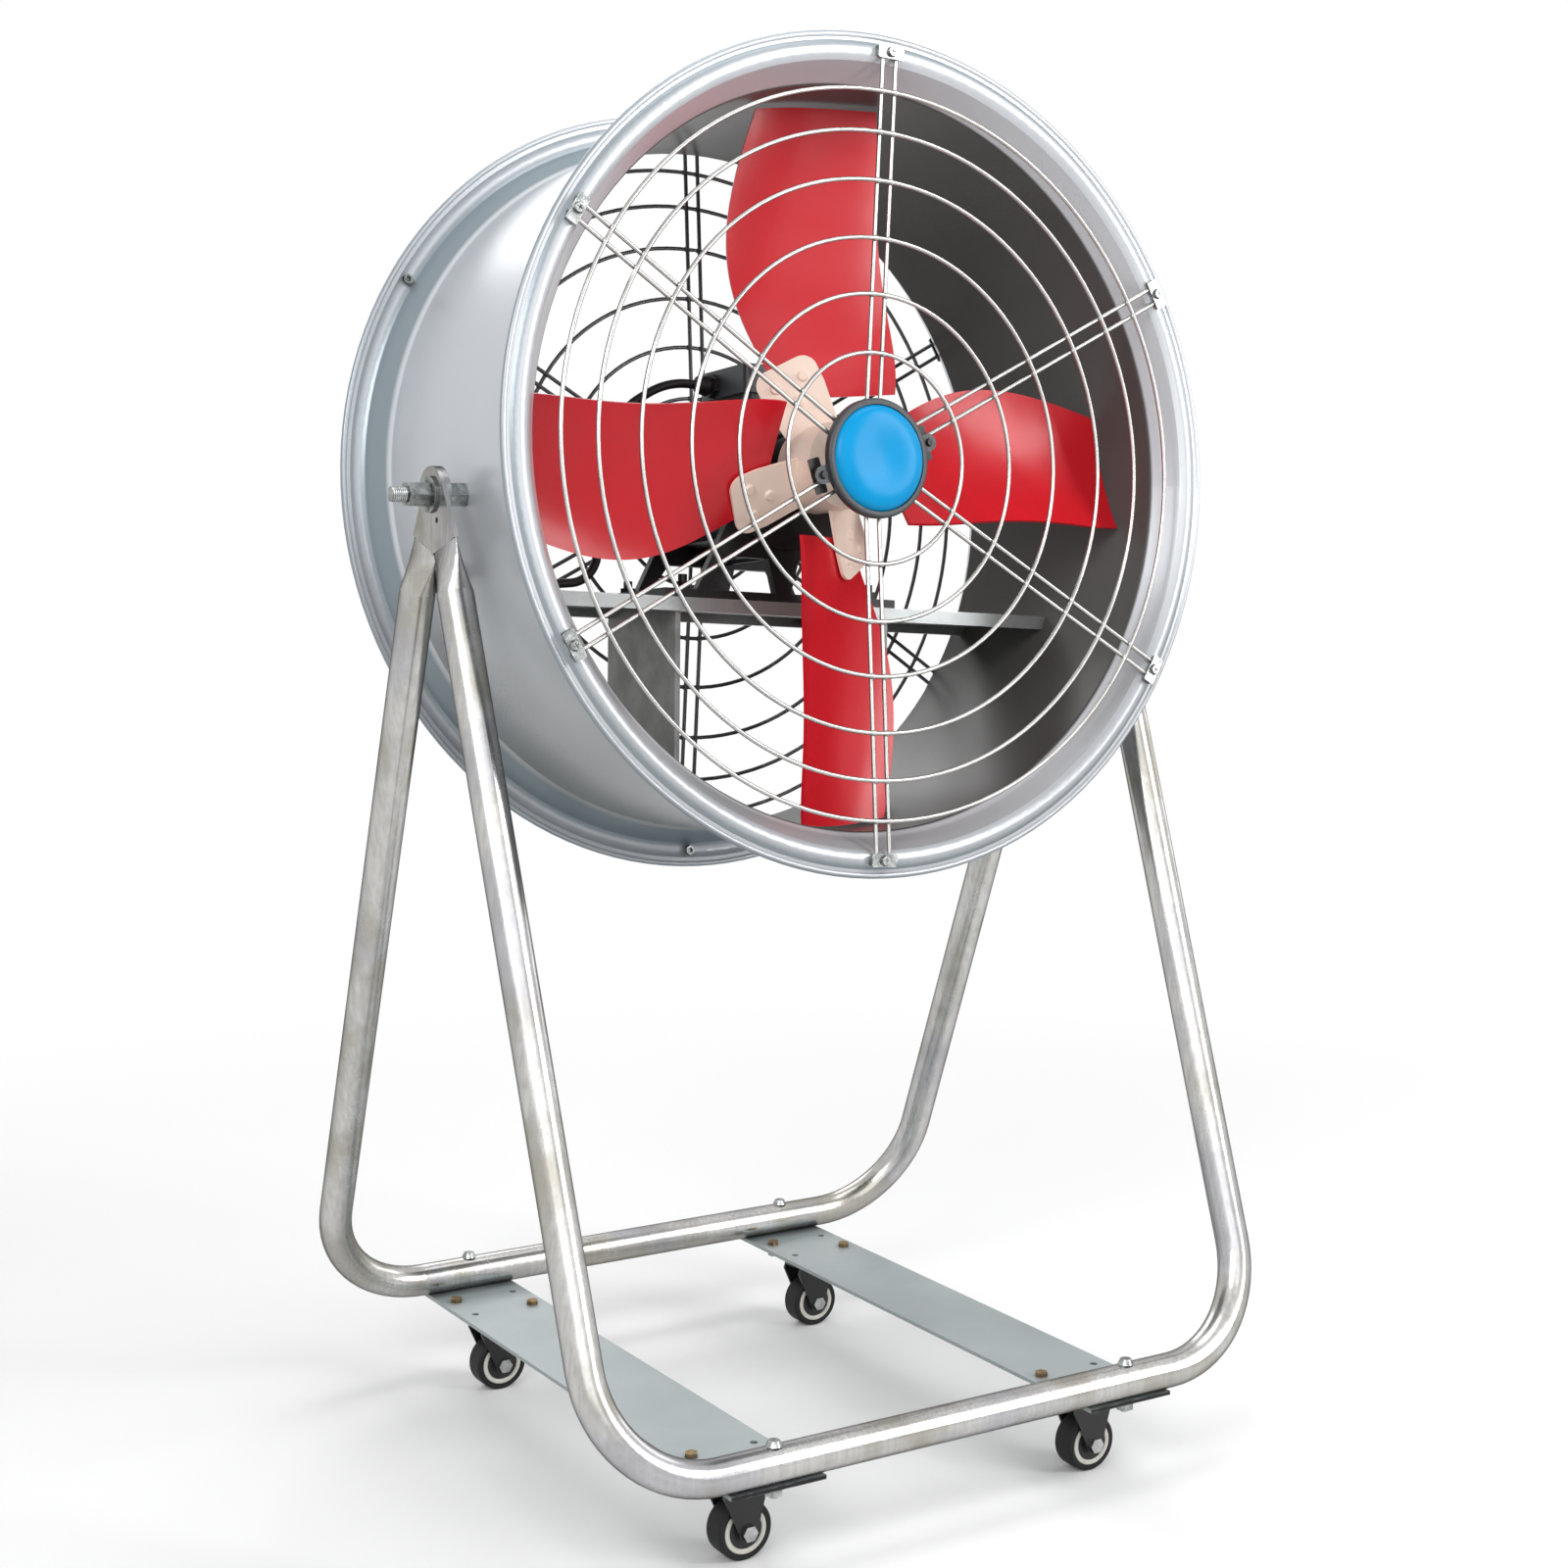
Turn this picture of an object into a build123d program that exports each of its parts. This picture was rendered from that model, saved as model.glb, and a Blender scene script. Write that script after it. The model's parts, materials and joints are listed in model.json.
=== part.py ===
from build123d import *
from math import cos, pi, radians, sin, sqrt, tan
import os

# A drum fan on a wheeled stand of bent tube.
# Origin on the floor under the tilt pivots, +Z up, the air leaves toward -Y, +X is right from the front.
# All sizes are in millimetres, all angles in degrees.

os.makedirs("parts", exist_ok=True)

# ---------------------------------------------------------------- driving sizes: drum
pivot_height = 849.0
rest_tilt = 5.7
axis_above_pivot = 20.0
# the whole drum sits a little turned around its axis between its pivots
drum_turn = -3.4
barrel_radius = 311.0
sheet = 2.0
front_reach = 153.5
rear_reach = 169.5
lip_rise = 16.0
recess_rise = 31.0
rim_rise = 39.0
flare_length = 28.0
lip_setback = 4.5
edge_roll = 2.6

# ---------------------------------------------------------------- driving sizes: guards
wire_radius = 1.8
# each ring's radius as a share of the radius on which the spokes end
ring_shares = (0.263, 0.407, 0.544, 0.685, 0.803, 0.903)
centre_ring_radius = 34.0
centre_ring_wire = 2.8
guard_dish = 20.0
spoke_count = 6
spoke_gap = 13.0
weld_sink = 0.6
clip_length = 25.0
clip_width = 11.0
clip_sheet = 1.5
clip_leg = 2.6
guard_screw_radius = 2.4
guard_screw_head = 4.6
guard_screw_head_height = 2.8
guard_screw_taper = 20.0
screw_slot = 1.0
guard_nut_flats = 8.0
guard_nut_height = 4.0
screw_tail = 2.0

# ---------------------------------------------------------------- driving sizes: badge
badge_radius = 50.0
badge_disc_radius = 44.5
badge_floor = 2.5
badge_rim_height = 7.0
badge_dome = 6.0
badge_edge_lean = 0.3
badge_ear_turn = 18.4
badge_ear_reach = 56.0
badge_ear_radius = 7.5
badge_screw_radius = 2.0
badge_screw_head = 3.6
badge_clip_length = 30.0

# ---------------------------------------------------------------- driving sizes: rotor
blade_count = 4
# the first blade stands this far past the drum's own upward direction
rotor_turn = 3.4
tip_clearance = 3.0
rotor_setback = 81.5
blade_root = 60.0
blade_neck = 98.0
blade_sheet = 3.0
root_stagger = 30.0
root_chord = 98.0
root_shift = 9.0
root_camber = 2.0
neck_chord = 116.0
neck_camber = 2.5
# share of the way from neck to tip, chord, stagger, shift of the chord's middle toward the rear edge, camber
blade_stations = (
    (0.218, 129.0, 25.0, -12.0, 9.0),
    (0.505, 131.0, 21.0, -16.0, 12.0),
    (0.777, 121.0, 18.0, -8.0, 11.0),
    (1.02, 104.0, 16.5, 2.0, 9.0),
)
hub_radius = 38.0
hub_length = 50.0
hub_set_screw_radius = 4.0
paddle_turn = 24.0
paddle_reach = 97.0
paddle_width = 56.0
paddle_neck = 38.0
paddle_corner = 13.0
paddle_sheet = 3.0
paddle_gap = 0.4
rivet_radius = 3.0
rivet_head = 5.2
rivet_head_height = 2.2
rivet_head_taper = 35.0
rivet_spots = ((-13.0, 80.0), (13.0, 80.0), (0.0, 62.0))

# ---------------------------------------------------------------- driving sizes: motor
shaft_radius = 12.5
shaft_shoulder = 16.0
shaft_end_gap = 7.0
motor_inset = 35.5
stator_bore = 44.5
air_gap = 0.5
stator_radius = 60.0
core_length = 78.0
core_inset = 16.0
winding_overhang = 12.0
winding_corner = 3.0
shaft_chamfer = 1.0
frame_wall = 6.0
fin_height = 6.0
fin_width = 2.6
fin_count = 28
frame_length = 118.0
rear_shield_reach = 14.0
shield_thickness = 8.0
bearing_radius = 26.0
bearing_width = 15.0
bearing_wall = 8.0
bearing_cap = 3.0
shaft_height = 112.0
foot_half_width = 120.0
foot_height = 8.0
foot_inner = 84.0
cradle_thickness = 8.0
cradle_top_half = 54.0
cradle_top = 36.0
cradle_knee_half = 88.0
foot_bolt_across = 97.0
foot_bolt_inset = 10.0
foot_bolt_radius = 4.0
foot_bolt_flats = 13.0
foot_bolt_head_height = 5.3
foot_bolt_nut_height = 6.5
terminal_width = 76.0
terminal_length = 80.0
terminal_height = 22.0
terminal_wall = 3.0
terminal_lid = 3.0
terminal_setback = 44.0
pad_half = 30.0

# ---------------------------------------------------------------- driving sizes: lead and glands
lead_radius = 4.0
lead_setback = 58.0
lead_exit_angle = 199.0
# how far outward and down from its gland the lead bends
lead_bends = ((48.0, 0.0), (95.5, 28.9), (115.6, 77.2), (116.9, 122.4))
lead_above_seat = 15.0
lead_turn_angle = 204.9
lead_turn_inset = 63.3
lead_bend_share = 0.45
gland_radius = 9.5
gland_length = 18.0
gland_thread = 7.0
gland_bore_clearance = 0.1
gland_taper = 12.0

# ---------------------------------------------------------------- driving sizes: motor seat
seat_sheet = 4.0
seat_flange = 12.0
seat_margin = 6.0
seat_clearance = 0.3
seat_leg_across = 108.0
seat_leg_sheet = 5.0

# ---------------------------------------------------------------- driving sizes: stand
tube_radius = 15.0
tube_wall = 1.8
bar_height = 97.6
bar_reach = 278.2
leg_stand_off = 24.0
leg_lean = 9.0
bend_radius = 100.0
flat_width = 46.0
flat_drop = 41.0
tab_thickness = 4.0
flat_bulge = 1.2
squeeze_length = 40.0
tab_radius = 23.0
tab_gap = 0.1
punch_hole_radius = 2.4
plate_inset = 149.0
plate_width = 88.0
plate_thickness = 3.5
plate_overhang = 9.0
tube_bolt_radius = 4.0
tube_bolt_head = 6.8
tube_bolt_head_height = 4.5
tube_bolt_head_taper = 25.0
tube_nut_height = 6.5

# ---------------------------------------------------------------- driving sizes: pivots
pivot_bolt_radius = 6.0
pivot_running_clearance = 0.06
pivot_nut_flats = 19.0
pivot_nut_height = 9.6
pivot_head_height = 8.0
pivot_washer_radius = 15.0
pivot_washer_thickness = 2.4
pivot_washer_clearance = 0.15
pivot_bolt_reach = 39.0

# ---------------------------------------------------------------- driving sizes: casters
caster_inset = 56.2
caster_trail = 3.0
caster_plate_length = 76.0
caster_plate_width = 58.0
caster_plate_thickness = 2.5
caster_hole_across = 59.4
caster_hole_along = 42.4
caster_hole_radius = 3.4
caster_bolt_radius = 3.0
caster_bolt_flats = 10.0
caster_bolt_head_height = 4.0
caster_nut_height = 5.0
raceway_radius = 24.0
raceway_height = 9.0
swivel_gap = 0.3
raceway_taper = 8.0
kingpin_radius = 6.0
kingpin_head_radius = 9.6
wheel_radius = 25.0
wheel_width = 22.0
tyre_thickness = 5.0
fork_sheet = 2.5
fork_crown_radius = 23.0
fork_toe_radius = 8.5
axle_radius = 4.0
axle_head_radius = 7.0
wheel_boss_radius = 9.6
wheel_recess = 1.0
running_clearance = 0.05
hole_clearance = 0.3

# ---------------------------------------------------------------- values that follow from them
nut_corner = 2 / sqrt(3)
mid_sheet = sheet / 2
lip_radius = barrel_radius + lip_rise
recess_radius = barrel_radius + recess_rise
rim_radius = barrel_radius + rim_rise
barrel_mid = barrel_radius + mid_sheet
barrel_outer = barrel_radius + sheet
bead_radius = (lip_radius + recess_radius) / 2
ring_radii = [bead_radius * share for share in ring_shares]
tip_radius = barrel_radius - tip_clearance
rotor_forward = front_reach - rotor_setback
shaft_front = rotor_forward + hub_length / 2 + shaft_end_gap
shaft_rear = motor_inset - rear_reach
frame_rear = shaft_rear + rear_shield_reach
frame_front = frame_rear + frame_length
core_rear = frame_rear + core_inset
core_front = core_rear + core_length
terminal_middle = frame_front - terminal_setback
lead_depth = frame_front - lead_setback
seat_front = frame_front + seat_margin
seat_rear = frame_rear - seat_margin
frame_inner = stator_radius
frame_outer = stator_radius + frame_wall
fin_radius = frame_outer + fin_height
plate_top = bar_height - tube_radius
plate_bottom = plate_top - plate_thickness
leg_spread_high = barrel_outer + leg_stand_off
leg_spread_low = leg_spread_high - leg_lean
plate_across = leg_spread_low - plate_inset
pivot_bolt_end = leg_spread_high + pivot_bolt_reach
caster_across = plate_across
caster_reach = bar_reach - caster_inset
wire = 2 * wire_radius
spoke_angles = [90 + 360 / spoke_count * turn for turn in range(spoke_count)]
blade_angles = [90 + rotor_turn + 360 / blade_count * turn for turn in range(blade_count)]

level = Vector(1, 0, 0)
forward = Vector(0, -cos(radians(rest_tilt)), sin(radians(rest_tilt)))
plumb = Vector(0, sin(radians(rest_tilt)), cos(radians(rest_tilt)))
across = level * cos(radians(drum_turn)) + plumb * sin(radians(drum_turn))
upward = plumb * cos(radians(drum_turn)) - level * sin(radians(drum_turn))
drum_centre = Vector(0, 0, pivot_height) + plumb * axis_above_pivot
# drum_face: x to the drum's right, y to its top, z forward along its axis
drum_face = Plane(origin=drum_centre, x_dir=across, z_dir=forward)
# drum_side: x is the distance from the drum's axis, y is forward
drum_side = Plane(origin=drum_centre, x_dir=across, z_dir=upward * -1)
drum_axis = Axis(drum_centre, forward)


def save(piece, name):
    """Label a finished piece and write it under its node's name."""
    piece.part.label = name
    export_step(piece.part, f"parts/{name}.step")


def drum_point(aside, up, ahead):
    """A point of the drum's own frame, in the row's frame."""
    return drum_face.from_local_coords(Vector(aside, up, ahead))


def chord_half(radius, height):
    """Half the width of a circle at a height above or below its centre."""
    return sqrt(radius**2 - height**2)


# ================================================================ the drum

def rim_line(side, reach):
    """The sheet's middle line from the barrel out over one rim, for the BuildLine around it."""
    cone = Line((barrel_mid, side * (reach - flare_length)), (lip_radius, side * (reach - lip_setback)))
    bead = ThreePointArc(cone @ 1, (bead_radius, side * (reach - mid_sheet)),
                         (recess_radius, side * (reach - lip_setback)))
    Line(bead @ 1, (rim_radius - edge_roll, side * (reach - lip_setback)))


def build_drum_shell():
    with BuildPart() as drum_shell:
        with BuildSketch(drum_side):
            with BuildLine():
                rim_line(1, front_reach)
                Line((barrel_mid, front_reach - flare_length), (barrel_mid, flare_length - rear_reach))
                rim_line(-1, rear_reach)
            trace(line_width=sheet)
            with Locations((rim_radius - edge_roll, front_reach - lip_setback),
                           (rim_radius - edge_roll, lip_setback - rear_reach)):
                Circle(edge_roll)
        revolve(axis=drum_axis)
        with BuildSketch(Plane.YZ):
            with Locations((0, pivot_height)):
                Circle(pivot_bolt_radius + running_clearance)
        extrude(amount=rim_radius, both=True, mode=Mode.SUBTRACT)
        with BuildSketch(drum_face.offset(-rear_reach)):
            with PolarLocations(bead_radius, spoke_count, start_angle=90):
                Circle(guard_screw_radius + hole_clearance)
        extrude(amount=front_reach + rear_reach, mode=Mode.SUBTRACT)
        with BuildSketch(wall_gland_plane):
            Circle(gland_thread + hole_clearance)
        extrude(amount=gland_length, both=True, mode=Mode.SUBTRACT)
    save(drum_shell, "drum_shell")


def spoke_ahead(reach, radius):
    """Distance of a spoke's middle line in front of the drum's centre: the guard is dished inward."""
    share = (bead_radius - radius) / (bead_radius - centre_ring_radius)
    return reach + wire_radius - guard_dish * share


def spoke_end(angle, offset, radius, ahead):
    """A point on one of the two wires of a spoke."""
    along = radians(angle)
    aside = radius * cos(along) - offset * sin(along)
    up = radius * sin(along) + offset * cos(along)
    return drum_point(aside, up, ahead)


def build_guard(name, side, reach):
    inner = chord_half(centre_ring_radius, spoke_gap / 2)
    outer = bead_radius + clip_width / 2
    with BuildPart() as guard:
        with BuildSketch(drum_side):
            for radius in ring_radii:
                with Locations((radius, side * (spoke_ahead(reach, radius) + wire - weld_sink))):
                    Circle(wire_radius)
            with Locations((centre_ring_radius, side * spoke_ahead(reach, inner))):
                Circle(centre_ring_wire)
        revolve(axis=drum_axis)
        for angle in spoke_angles:
            for offset in (-spoke_gap / 2, spoke_gap / 2):
                start = spoke_end(angle, offset, inner, side * spoke_ahead(reach, inner))
                bend = spoke_end(angle, offset, lip_radius, side * (reach + wire_radius))
                end = spoke_end(angle, offset, outer, side * (reach + wire_radius))
                with BuildLine() as spoke_line:
                    Polyline(start, bend, end)
                with BuildSketch(Plane(origin=start, z_dir=spoke_line.line % 0)):
                    Circle(wire_radius)
                sweep(path=spoke_line.line, transition=Transition.RIGHT)
    save(guard, name)


def build_guard_clips():
    with BuildPart() as guard_clips:
        for side, reach in ((1, front_reach), (-1, rear_reach)):
            seat = drum_face.offset(side * (reach + wire + tab_gap))
            with BuildSketch(seat):
                with PolarLocations(bead_radius, spoke_count, start_angle=90):
                    RectangleRounded(clip_width, clip_length, clip_sheet)
                    Circle(guard_screw_radius + hole_clearance, mode=Mode.SUBTRACT)
            extrude(amount=side * clip_sheet)
            with BuildSketch(seat):
                with PolarLocations(bead_radius, spoke_count, start_angle=90):
                    with Locations((0, (clip_leg - clip_length) / 2), (0, (clip_length - clip_leg) / 2)):
                        Rectangle(clip_width - 2 * clip_sheet, clip_leg)
            extrude(amount=-side * wire)
    save(guard_clips, "guard_clips")


def build_guard_fasteners():
    with BuildPart() as guard_screws:
        for side, reach in ((1, front_reach), (-1, rear_reach)):
            head_seat = reach + wire + tab_gap + clip_sheet
            tail = reach - lip_setback - screw_tail
            with BuildSketch(drum_face.offset(side * tail)):
                with PolarLocations(bead_radius, spoke_count, start_angle=90):
                    Circle(guard_screw_radius)
            extrude(amount=side * (head_seat - tail))
            with BuildSketch(drum_face.offset(side * head_seat)):
                with PolarLocations(bead_radius, spoke_count, start_angle=90):
                    Circle(guard_screw_head)
            extrude(amount=side * guard_screw_head_height, taper=guard_screw_taper)
            with BuildSketch(drum_face.offset(side * (head_seat + guard_screw_head_height))):
                with PolarLocations(bead_radius, spoke_count, start_angle=90):
                    Rectangle(guard_screw_head, screw_slot)
                    Rectangle(screw_slot, guard_screw_head)
            extrude(amount=-side * guard_screw_head_height / 2, mode=Mode.SUBTRACT)
    save(guard_screws, "guard_screws")
    with BuildPart() as guard_nuts:
        for side, reach in ((1, front_reach), (-1, rear_reach)):
            seat = reach - sheet - edge_roll + tab_gap
            with BuildSketch(drum_face.offset(side * seat)):
                with PolarLocations(bead_radius, spoke_count, start_angle=90):
                    RegularPolygon(guard_nut_flats / 2 * nut_corner, 6)
                    Circle(guard_screw_radius, mode=Mode.SUBTRACT)
            extrude(amount=-side * guard_nut_height)
    save(guard_nuts, "guard_nuts")


# ================================================================ the badge on the front guard

badge_seat = spoke_ahead(front_reach, badge_ear_reach + badge_ear_radius) + wire_radius + hole_clearance
badge_ear_angles = (badge_ear_turn, badge_ear_turn + 180)
badge_clip_seat = spoke_ahead(front_reach, badge_ear_reach - badge_clip_length / 2) - wire_radius


def build_badge():
    with BuildPart() as badge_bezel:
        with BuildSketch(drum_face.offset(badge_seat)):
            Circle(badge_radius)
            for angle in badge_ear_angles:
                with Locations(Rotation(0, 0, angle)):
                    with Locations((badge_ear_reach, 0)):
                        Circle(badge_ear_radius)
                    with Locations((badge_ear_reach / 2, 0)):
                        Rectangle(badge_ear_reach, 2 * badge_ear_radius)
            with PolarLocations(badge_ear_reach, 2, start_angle=badge_ear_turn):
                Circle(badge_screw_radius + hole_clearance, mode=Mode.SUBTRACT)
        extrude(amount=badge_floor)
        with BuildSketch(drum_face.offset(badge_seat + badge_floor)):
            Circle(badge_radius)
            Circle(badge_disc_radius + hole_clearance, mode=Mode.SUBTRACT)
        extrude(amount=badge_rim_height - badge_floor)
        outer_lip = badge_bezel.edges().filter_by(GeomType.CIRCLE).group_by(drum_axis)[-1]
        fillet(outer_lip.sort_by(SortBy.RADIUS)[-1], badge_floor)
    save(badge_bezel, "badge_bezel")
    disc_seat = badge_seat + badge_floor + tab_gap
    with BuildPart() as badge_disc:
        with BuildSketch(drum_side):
            with BuildLine():
                rise = disc_seat + badge_floor
                edge = Line((badge_disc_radius, disc_seat), (badge_disc_radius, rise))
                crown = Spline(edge @ 1, (0, rise + badge_dome), tangents=((-badge_edge_lean, 1), (-1, 0)))
                Line(crown @ 1, (0, disc_seat))
                Line((0, disc_seat), (badge_disc_radius, disc_seat))
            make_face()
        revolve(axis=drum_axis)
    save(badge_disc, "badge_disc")
    with BuildPart() as badge_fixings:
        with BuildSketch(drum_face.offset(badge_clip_seat - 3 * clip_sheet)):
            with PolarLocations(badge_ear_reach, 2, start_angle=badge_ear_turn):
                Circle(badge_screw_radius)
        extrude(amount=badge_seat + badge_floor - badge_clip_seat + 3 * clip_sheet)
        with BuildSketch(drum_face.offset(badge_seat + badge_floor)):
            with PolarLocations(badge_ear_reach, 2, start_angle=badge_ear_turn):
                Circle(badge_screw_head)
        extrude(amount=guard_screw_head_height, taper=guard_screw_taper)
        with BuildSketch(drum_face.offset(badge_clip_seat)):
            with PolarLocations(badge_ear_reach, 2, start_angle=badge_ear_turn):
                RectangleRounded(clip_width, badge_clip_length, clip_sheet)
        extrude(amount=-clip_sheet)
    save(badge_fixings, "badge_fixings")


# ================================================================ the rotor

def chord_direction(angle, stagger):
    """Direction from the rear edge of a blade to its front edge, at a blade's angle around the axis."""
    turn = radians(angle)
    lean = radians(stagger)
    tangent = across * sin(turn) - upward * cos(turn)
    return tangent * cos(lean) + forward * sin(lean)


def radial_direction(angle):
    return across * cos(radians(angle)) + upward * sin(radians(angle))


rotor_centre = drum_centre + forward * rotor_forward


def root_plane(angle):
    """The plane of a blade's root: x along its chord, y outward, z toward the front."""
    chord = chord_direction(angle, root_stagger)
    return Plane(origin=rotor_centre, x_dir=chord, z_dir=chord.cross(radial_direction(angle)))


def paddle_plane(angle):
    """The root's plane with its outward direction swung toward the rear edge, for the hub's paddle."""
    root = root_plane(angle)
    swing = radians(paddle_turn)
    swung = root.x_dir * cos(swing) + root.y_dir * sin(swing)
    return Plane(origin=root.origin, x_dir=swung, z_dir=root.z_dir)


def blade_sections():
    """Radius, chord, stagger, shift and camber of each section of a blade, from its root to its tip."""
    root = (blade_root, root_chord, root_stagger, root_shift, root_camber)
    neck = (blade_neck, neck_chord, root_stagger, 0, neck_camber)
    outer = [(blade_neck + share * (tip_radius - blade_neck), *shape) for share, *shape in blade_stations]
    return [root, neck, *outer]


def build_blade(name, angle):
    outward = radial_direction(angle)
    with BuildPart() as blade:
        for radius, chord, stagger, shift, camber in blade_sections():
            station = Plane(origin=rotor_centre + outward * radius,
                            x_dir=chord_direction(angle, stagger), z_dir=outward)
            with BuildSketch(station):
                with BuildLine():
                    front = ThreePointArc((shift - chord / 2, 0), (shift, camber), (shift + chord / 2, 0))
                    back = ThreePointArc((shift - chord / 2, blade_sheet), (shift, camber + blade_sheet),
                                         (shift + chord / 2, blade_sheet))
                    Line(front @ 0, back @ 0)
                    Line(front @ 1, back @ 1)
                make_face()
        loft()
        with BuildSketch(drum_face):
            Circle(tip_radius)
        extrude(amount=front_reach, mode=Mode.INTERSECT)
        with BuildSketch(paddle_plane(angle).offset(-paddle_corner)):
            with Locations(*rivet_spots):
                Circle(rivet_radius)
        extrude(amount=2 * paddle_corner, mode=Mode.SUBTRACT)
    save(blade, name)


def build_hub():
    hub_rear = rotor_forward - hub_length / 2
    with BuildPart() as fan_hub:
        with BuildSketch(drum_face.offset(hub_rear)):
            Circle(hub_radius)
        extrude(amount=hub_length)
        for angle in blade_angles:
            paddle_face = paddle_plane(angle)
            with BuildSketch(paddle_face.offset(paddle_gap)):
                with BuildLine():
                    Polyline((-paddle_neck / 2, 0), (-paddle_width / 2, paddle_reach - paddle_width / 2),
                             (-paddle_width / 2, paddle_reach), (paddle_width / 2, paddle_reach),
                             (paddle_width / 2, paddle_reach - paddle_width / 2), (paddle_neck / 2, 0),
                             close=True)
                outline = make_face()
                outer_corners = outline.vertices().group_by(Axis.Y)[-1]
                fillet(outer_corners, paddle_corner)
            extrude(amount=paddle_sheet)
        with BuildSketch(drum_face.offset(hub_rear - hub_length)):
            Circle(shaft_radius)
        extrude(amount=3 * hub_length, mode=Mode.SUBTRACT)
        for angle in blade_angles:
            paddle_face = paddle_plane(angle)
            with BuildSketch(paddle_face):
                with Locations(*rivet_spots):
                    Circle(rivet_radius)
            extrude(amount=2 * paddle_sheet, mode=Mode.SUBTRACT)
        with BuildSketch(hub_screw_plane):
            Circle(hub_set_screw_radius)
        extrude(amount=hub_radius, mode=Mode.SUBTRACT)
    save(fan_hub, "fan_hub")


hub_screw_plane = Plane(origin=drum_point(0, 0, rotor_forward + hub_length / 2 - 3 * hub_set_screw_radius),
                        x_dir=forward, z_dir=radial_direction(90 + rotor_turn))


def build_hub_fasteners():
    hub_front = rotor_forward + hub_length / 2
    with BuildPart() as hub_screws:
        with BuildSketch(hub_screw_plane.offset(shaft_radius)):
            Circle(hub_set_screw_radius)
        extrude(amount=hub_radius - shaft_radius + screw_tail)
        with BuildSketch(drum_face.offset(shaft_front)):
            Circle(hub_radius / 2)
        extrude(amount=pivot_washer_thickness)
        with BuildSketch(drum_face.offset(shaft_front + pivot_washer_thickness)):
            RegularPolygon(pivot_nut_flats / 2 * nut_corner, 6)
        extrude(amount=pivot_head_height)
        with BuildSketch(drum_face.offset(hub_front)):
            Circle(hub_radius / 2)
            Circle(shaft_radius, mode=Mode.SUBTRACT)
        extrude(amount=shaft_front - hub_front)
    save(hub_screws, "hub_screws")
    with BuildPart() as blade_rivets:
        for angle in blade_angles:
            paddle_face = paddle_plane(angle)
            front_seat = paddle_gap + paddle_sheet
            rear_seat = -(blade_sheet + neck_camber + paddle_gap)
            with BuildSketch(paddle_face.offset(rear_seat)):
                with Locations(*rivet_spots):
                    Circle(rivet_radius)
            extrude(amount=front_seat - rear_seat)
            with BuildSketch(paddle_face.offset(front_seat)):
                with Locations(*rivet_spots):
                    Circle(rivet_head)
            extrude(amount=rivet_head_height, taper=rivet_head_taper)
            with BuildSketch(paddle_face.offset(rear_seat)):
                with Locations(*rivet_spots):
                    Circle(rivet_head)
            extrude(amount=-rivet_head_height, taper=rivet_head_taper)
    save(blade_rivets, "blade_rivets")


# ================================================================ the motor

def build_shaft_and_core():
    shoulder_front = core_front + winding_overhang / 2
    shoulder_rear = core_rear - winding_overhang / 2
    with BuildPart() as motor_shaft:
        with BuildSketch(drum_face.offset(shaft_rear)):
            Circle(shaft_radius)
        extrude(amount=shaft_front - shaft_rear)
        with BuildSketch(drum_face.offset(shoulder_rear)):
            Circle(shaft_shoulder)
        extrude(amount=shoulder_front - shoulder_rear)
        chamfer(motor_shaft.edges().filter_by(GeomType.CIRCLE).group_by(drum_axis)[-1], shaft_chamfer)
    save(motor_shaft, "motor_shaft")
    with BuildPart() as rotor_core:
        with BuildSketch(drum_face.offset(core_rear)):
            Circle(stator_bore - air_gap)
            Circle(shaft_shoulder, mode=Mode.SUBTRACT)
        extrude(amount=core_front - core_rear)
    save(rotor_core, "rotor_core")


def build_stator():
    with BuildPart() as stator_core:
        with BuildSketch(drum_face.offset(core_rear)):
            Circle(stator_radius)
            Circle(stator_bore, mode=Mode.SUBTRACT)
        extrude(amount=core_front - core_rear)
    save(stator_core, "stator_core")
    with BuildPart() as stator_winding:
        for seat, overhang in ((core_front, winding_overhang), (core_rear, -winding_overhang)):
            with BuildSketch(drum_face.offset(seat)):
                Circle(stator_radius - frame_wall / 2)
                Circle(stator_bore + frame_wall / 2, mode=Mode.SUBTRACT)
            extrude(amount=overhang)
        fillet(stator_winding.edges().filter_by(GeomType.CIRCLE).group_by(drum_axis)[-1], winding_corner)
        fillet(stator_winding.edges().filter_by(GeomType.CIRCLE).group_by(drum_axis)[0], winding_corner)
    save(stator_winding, "stator_winding")


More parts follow.
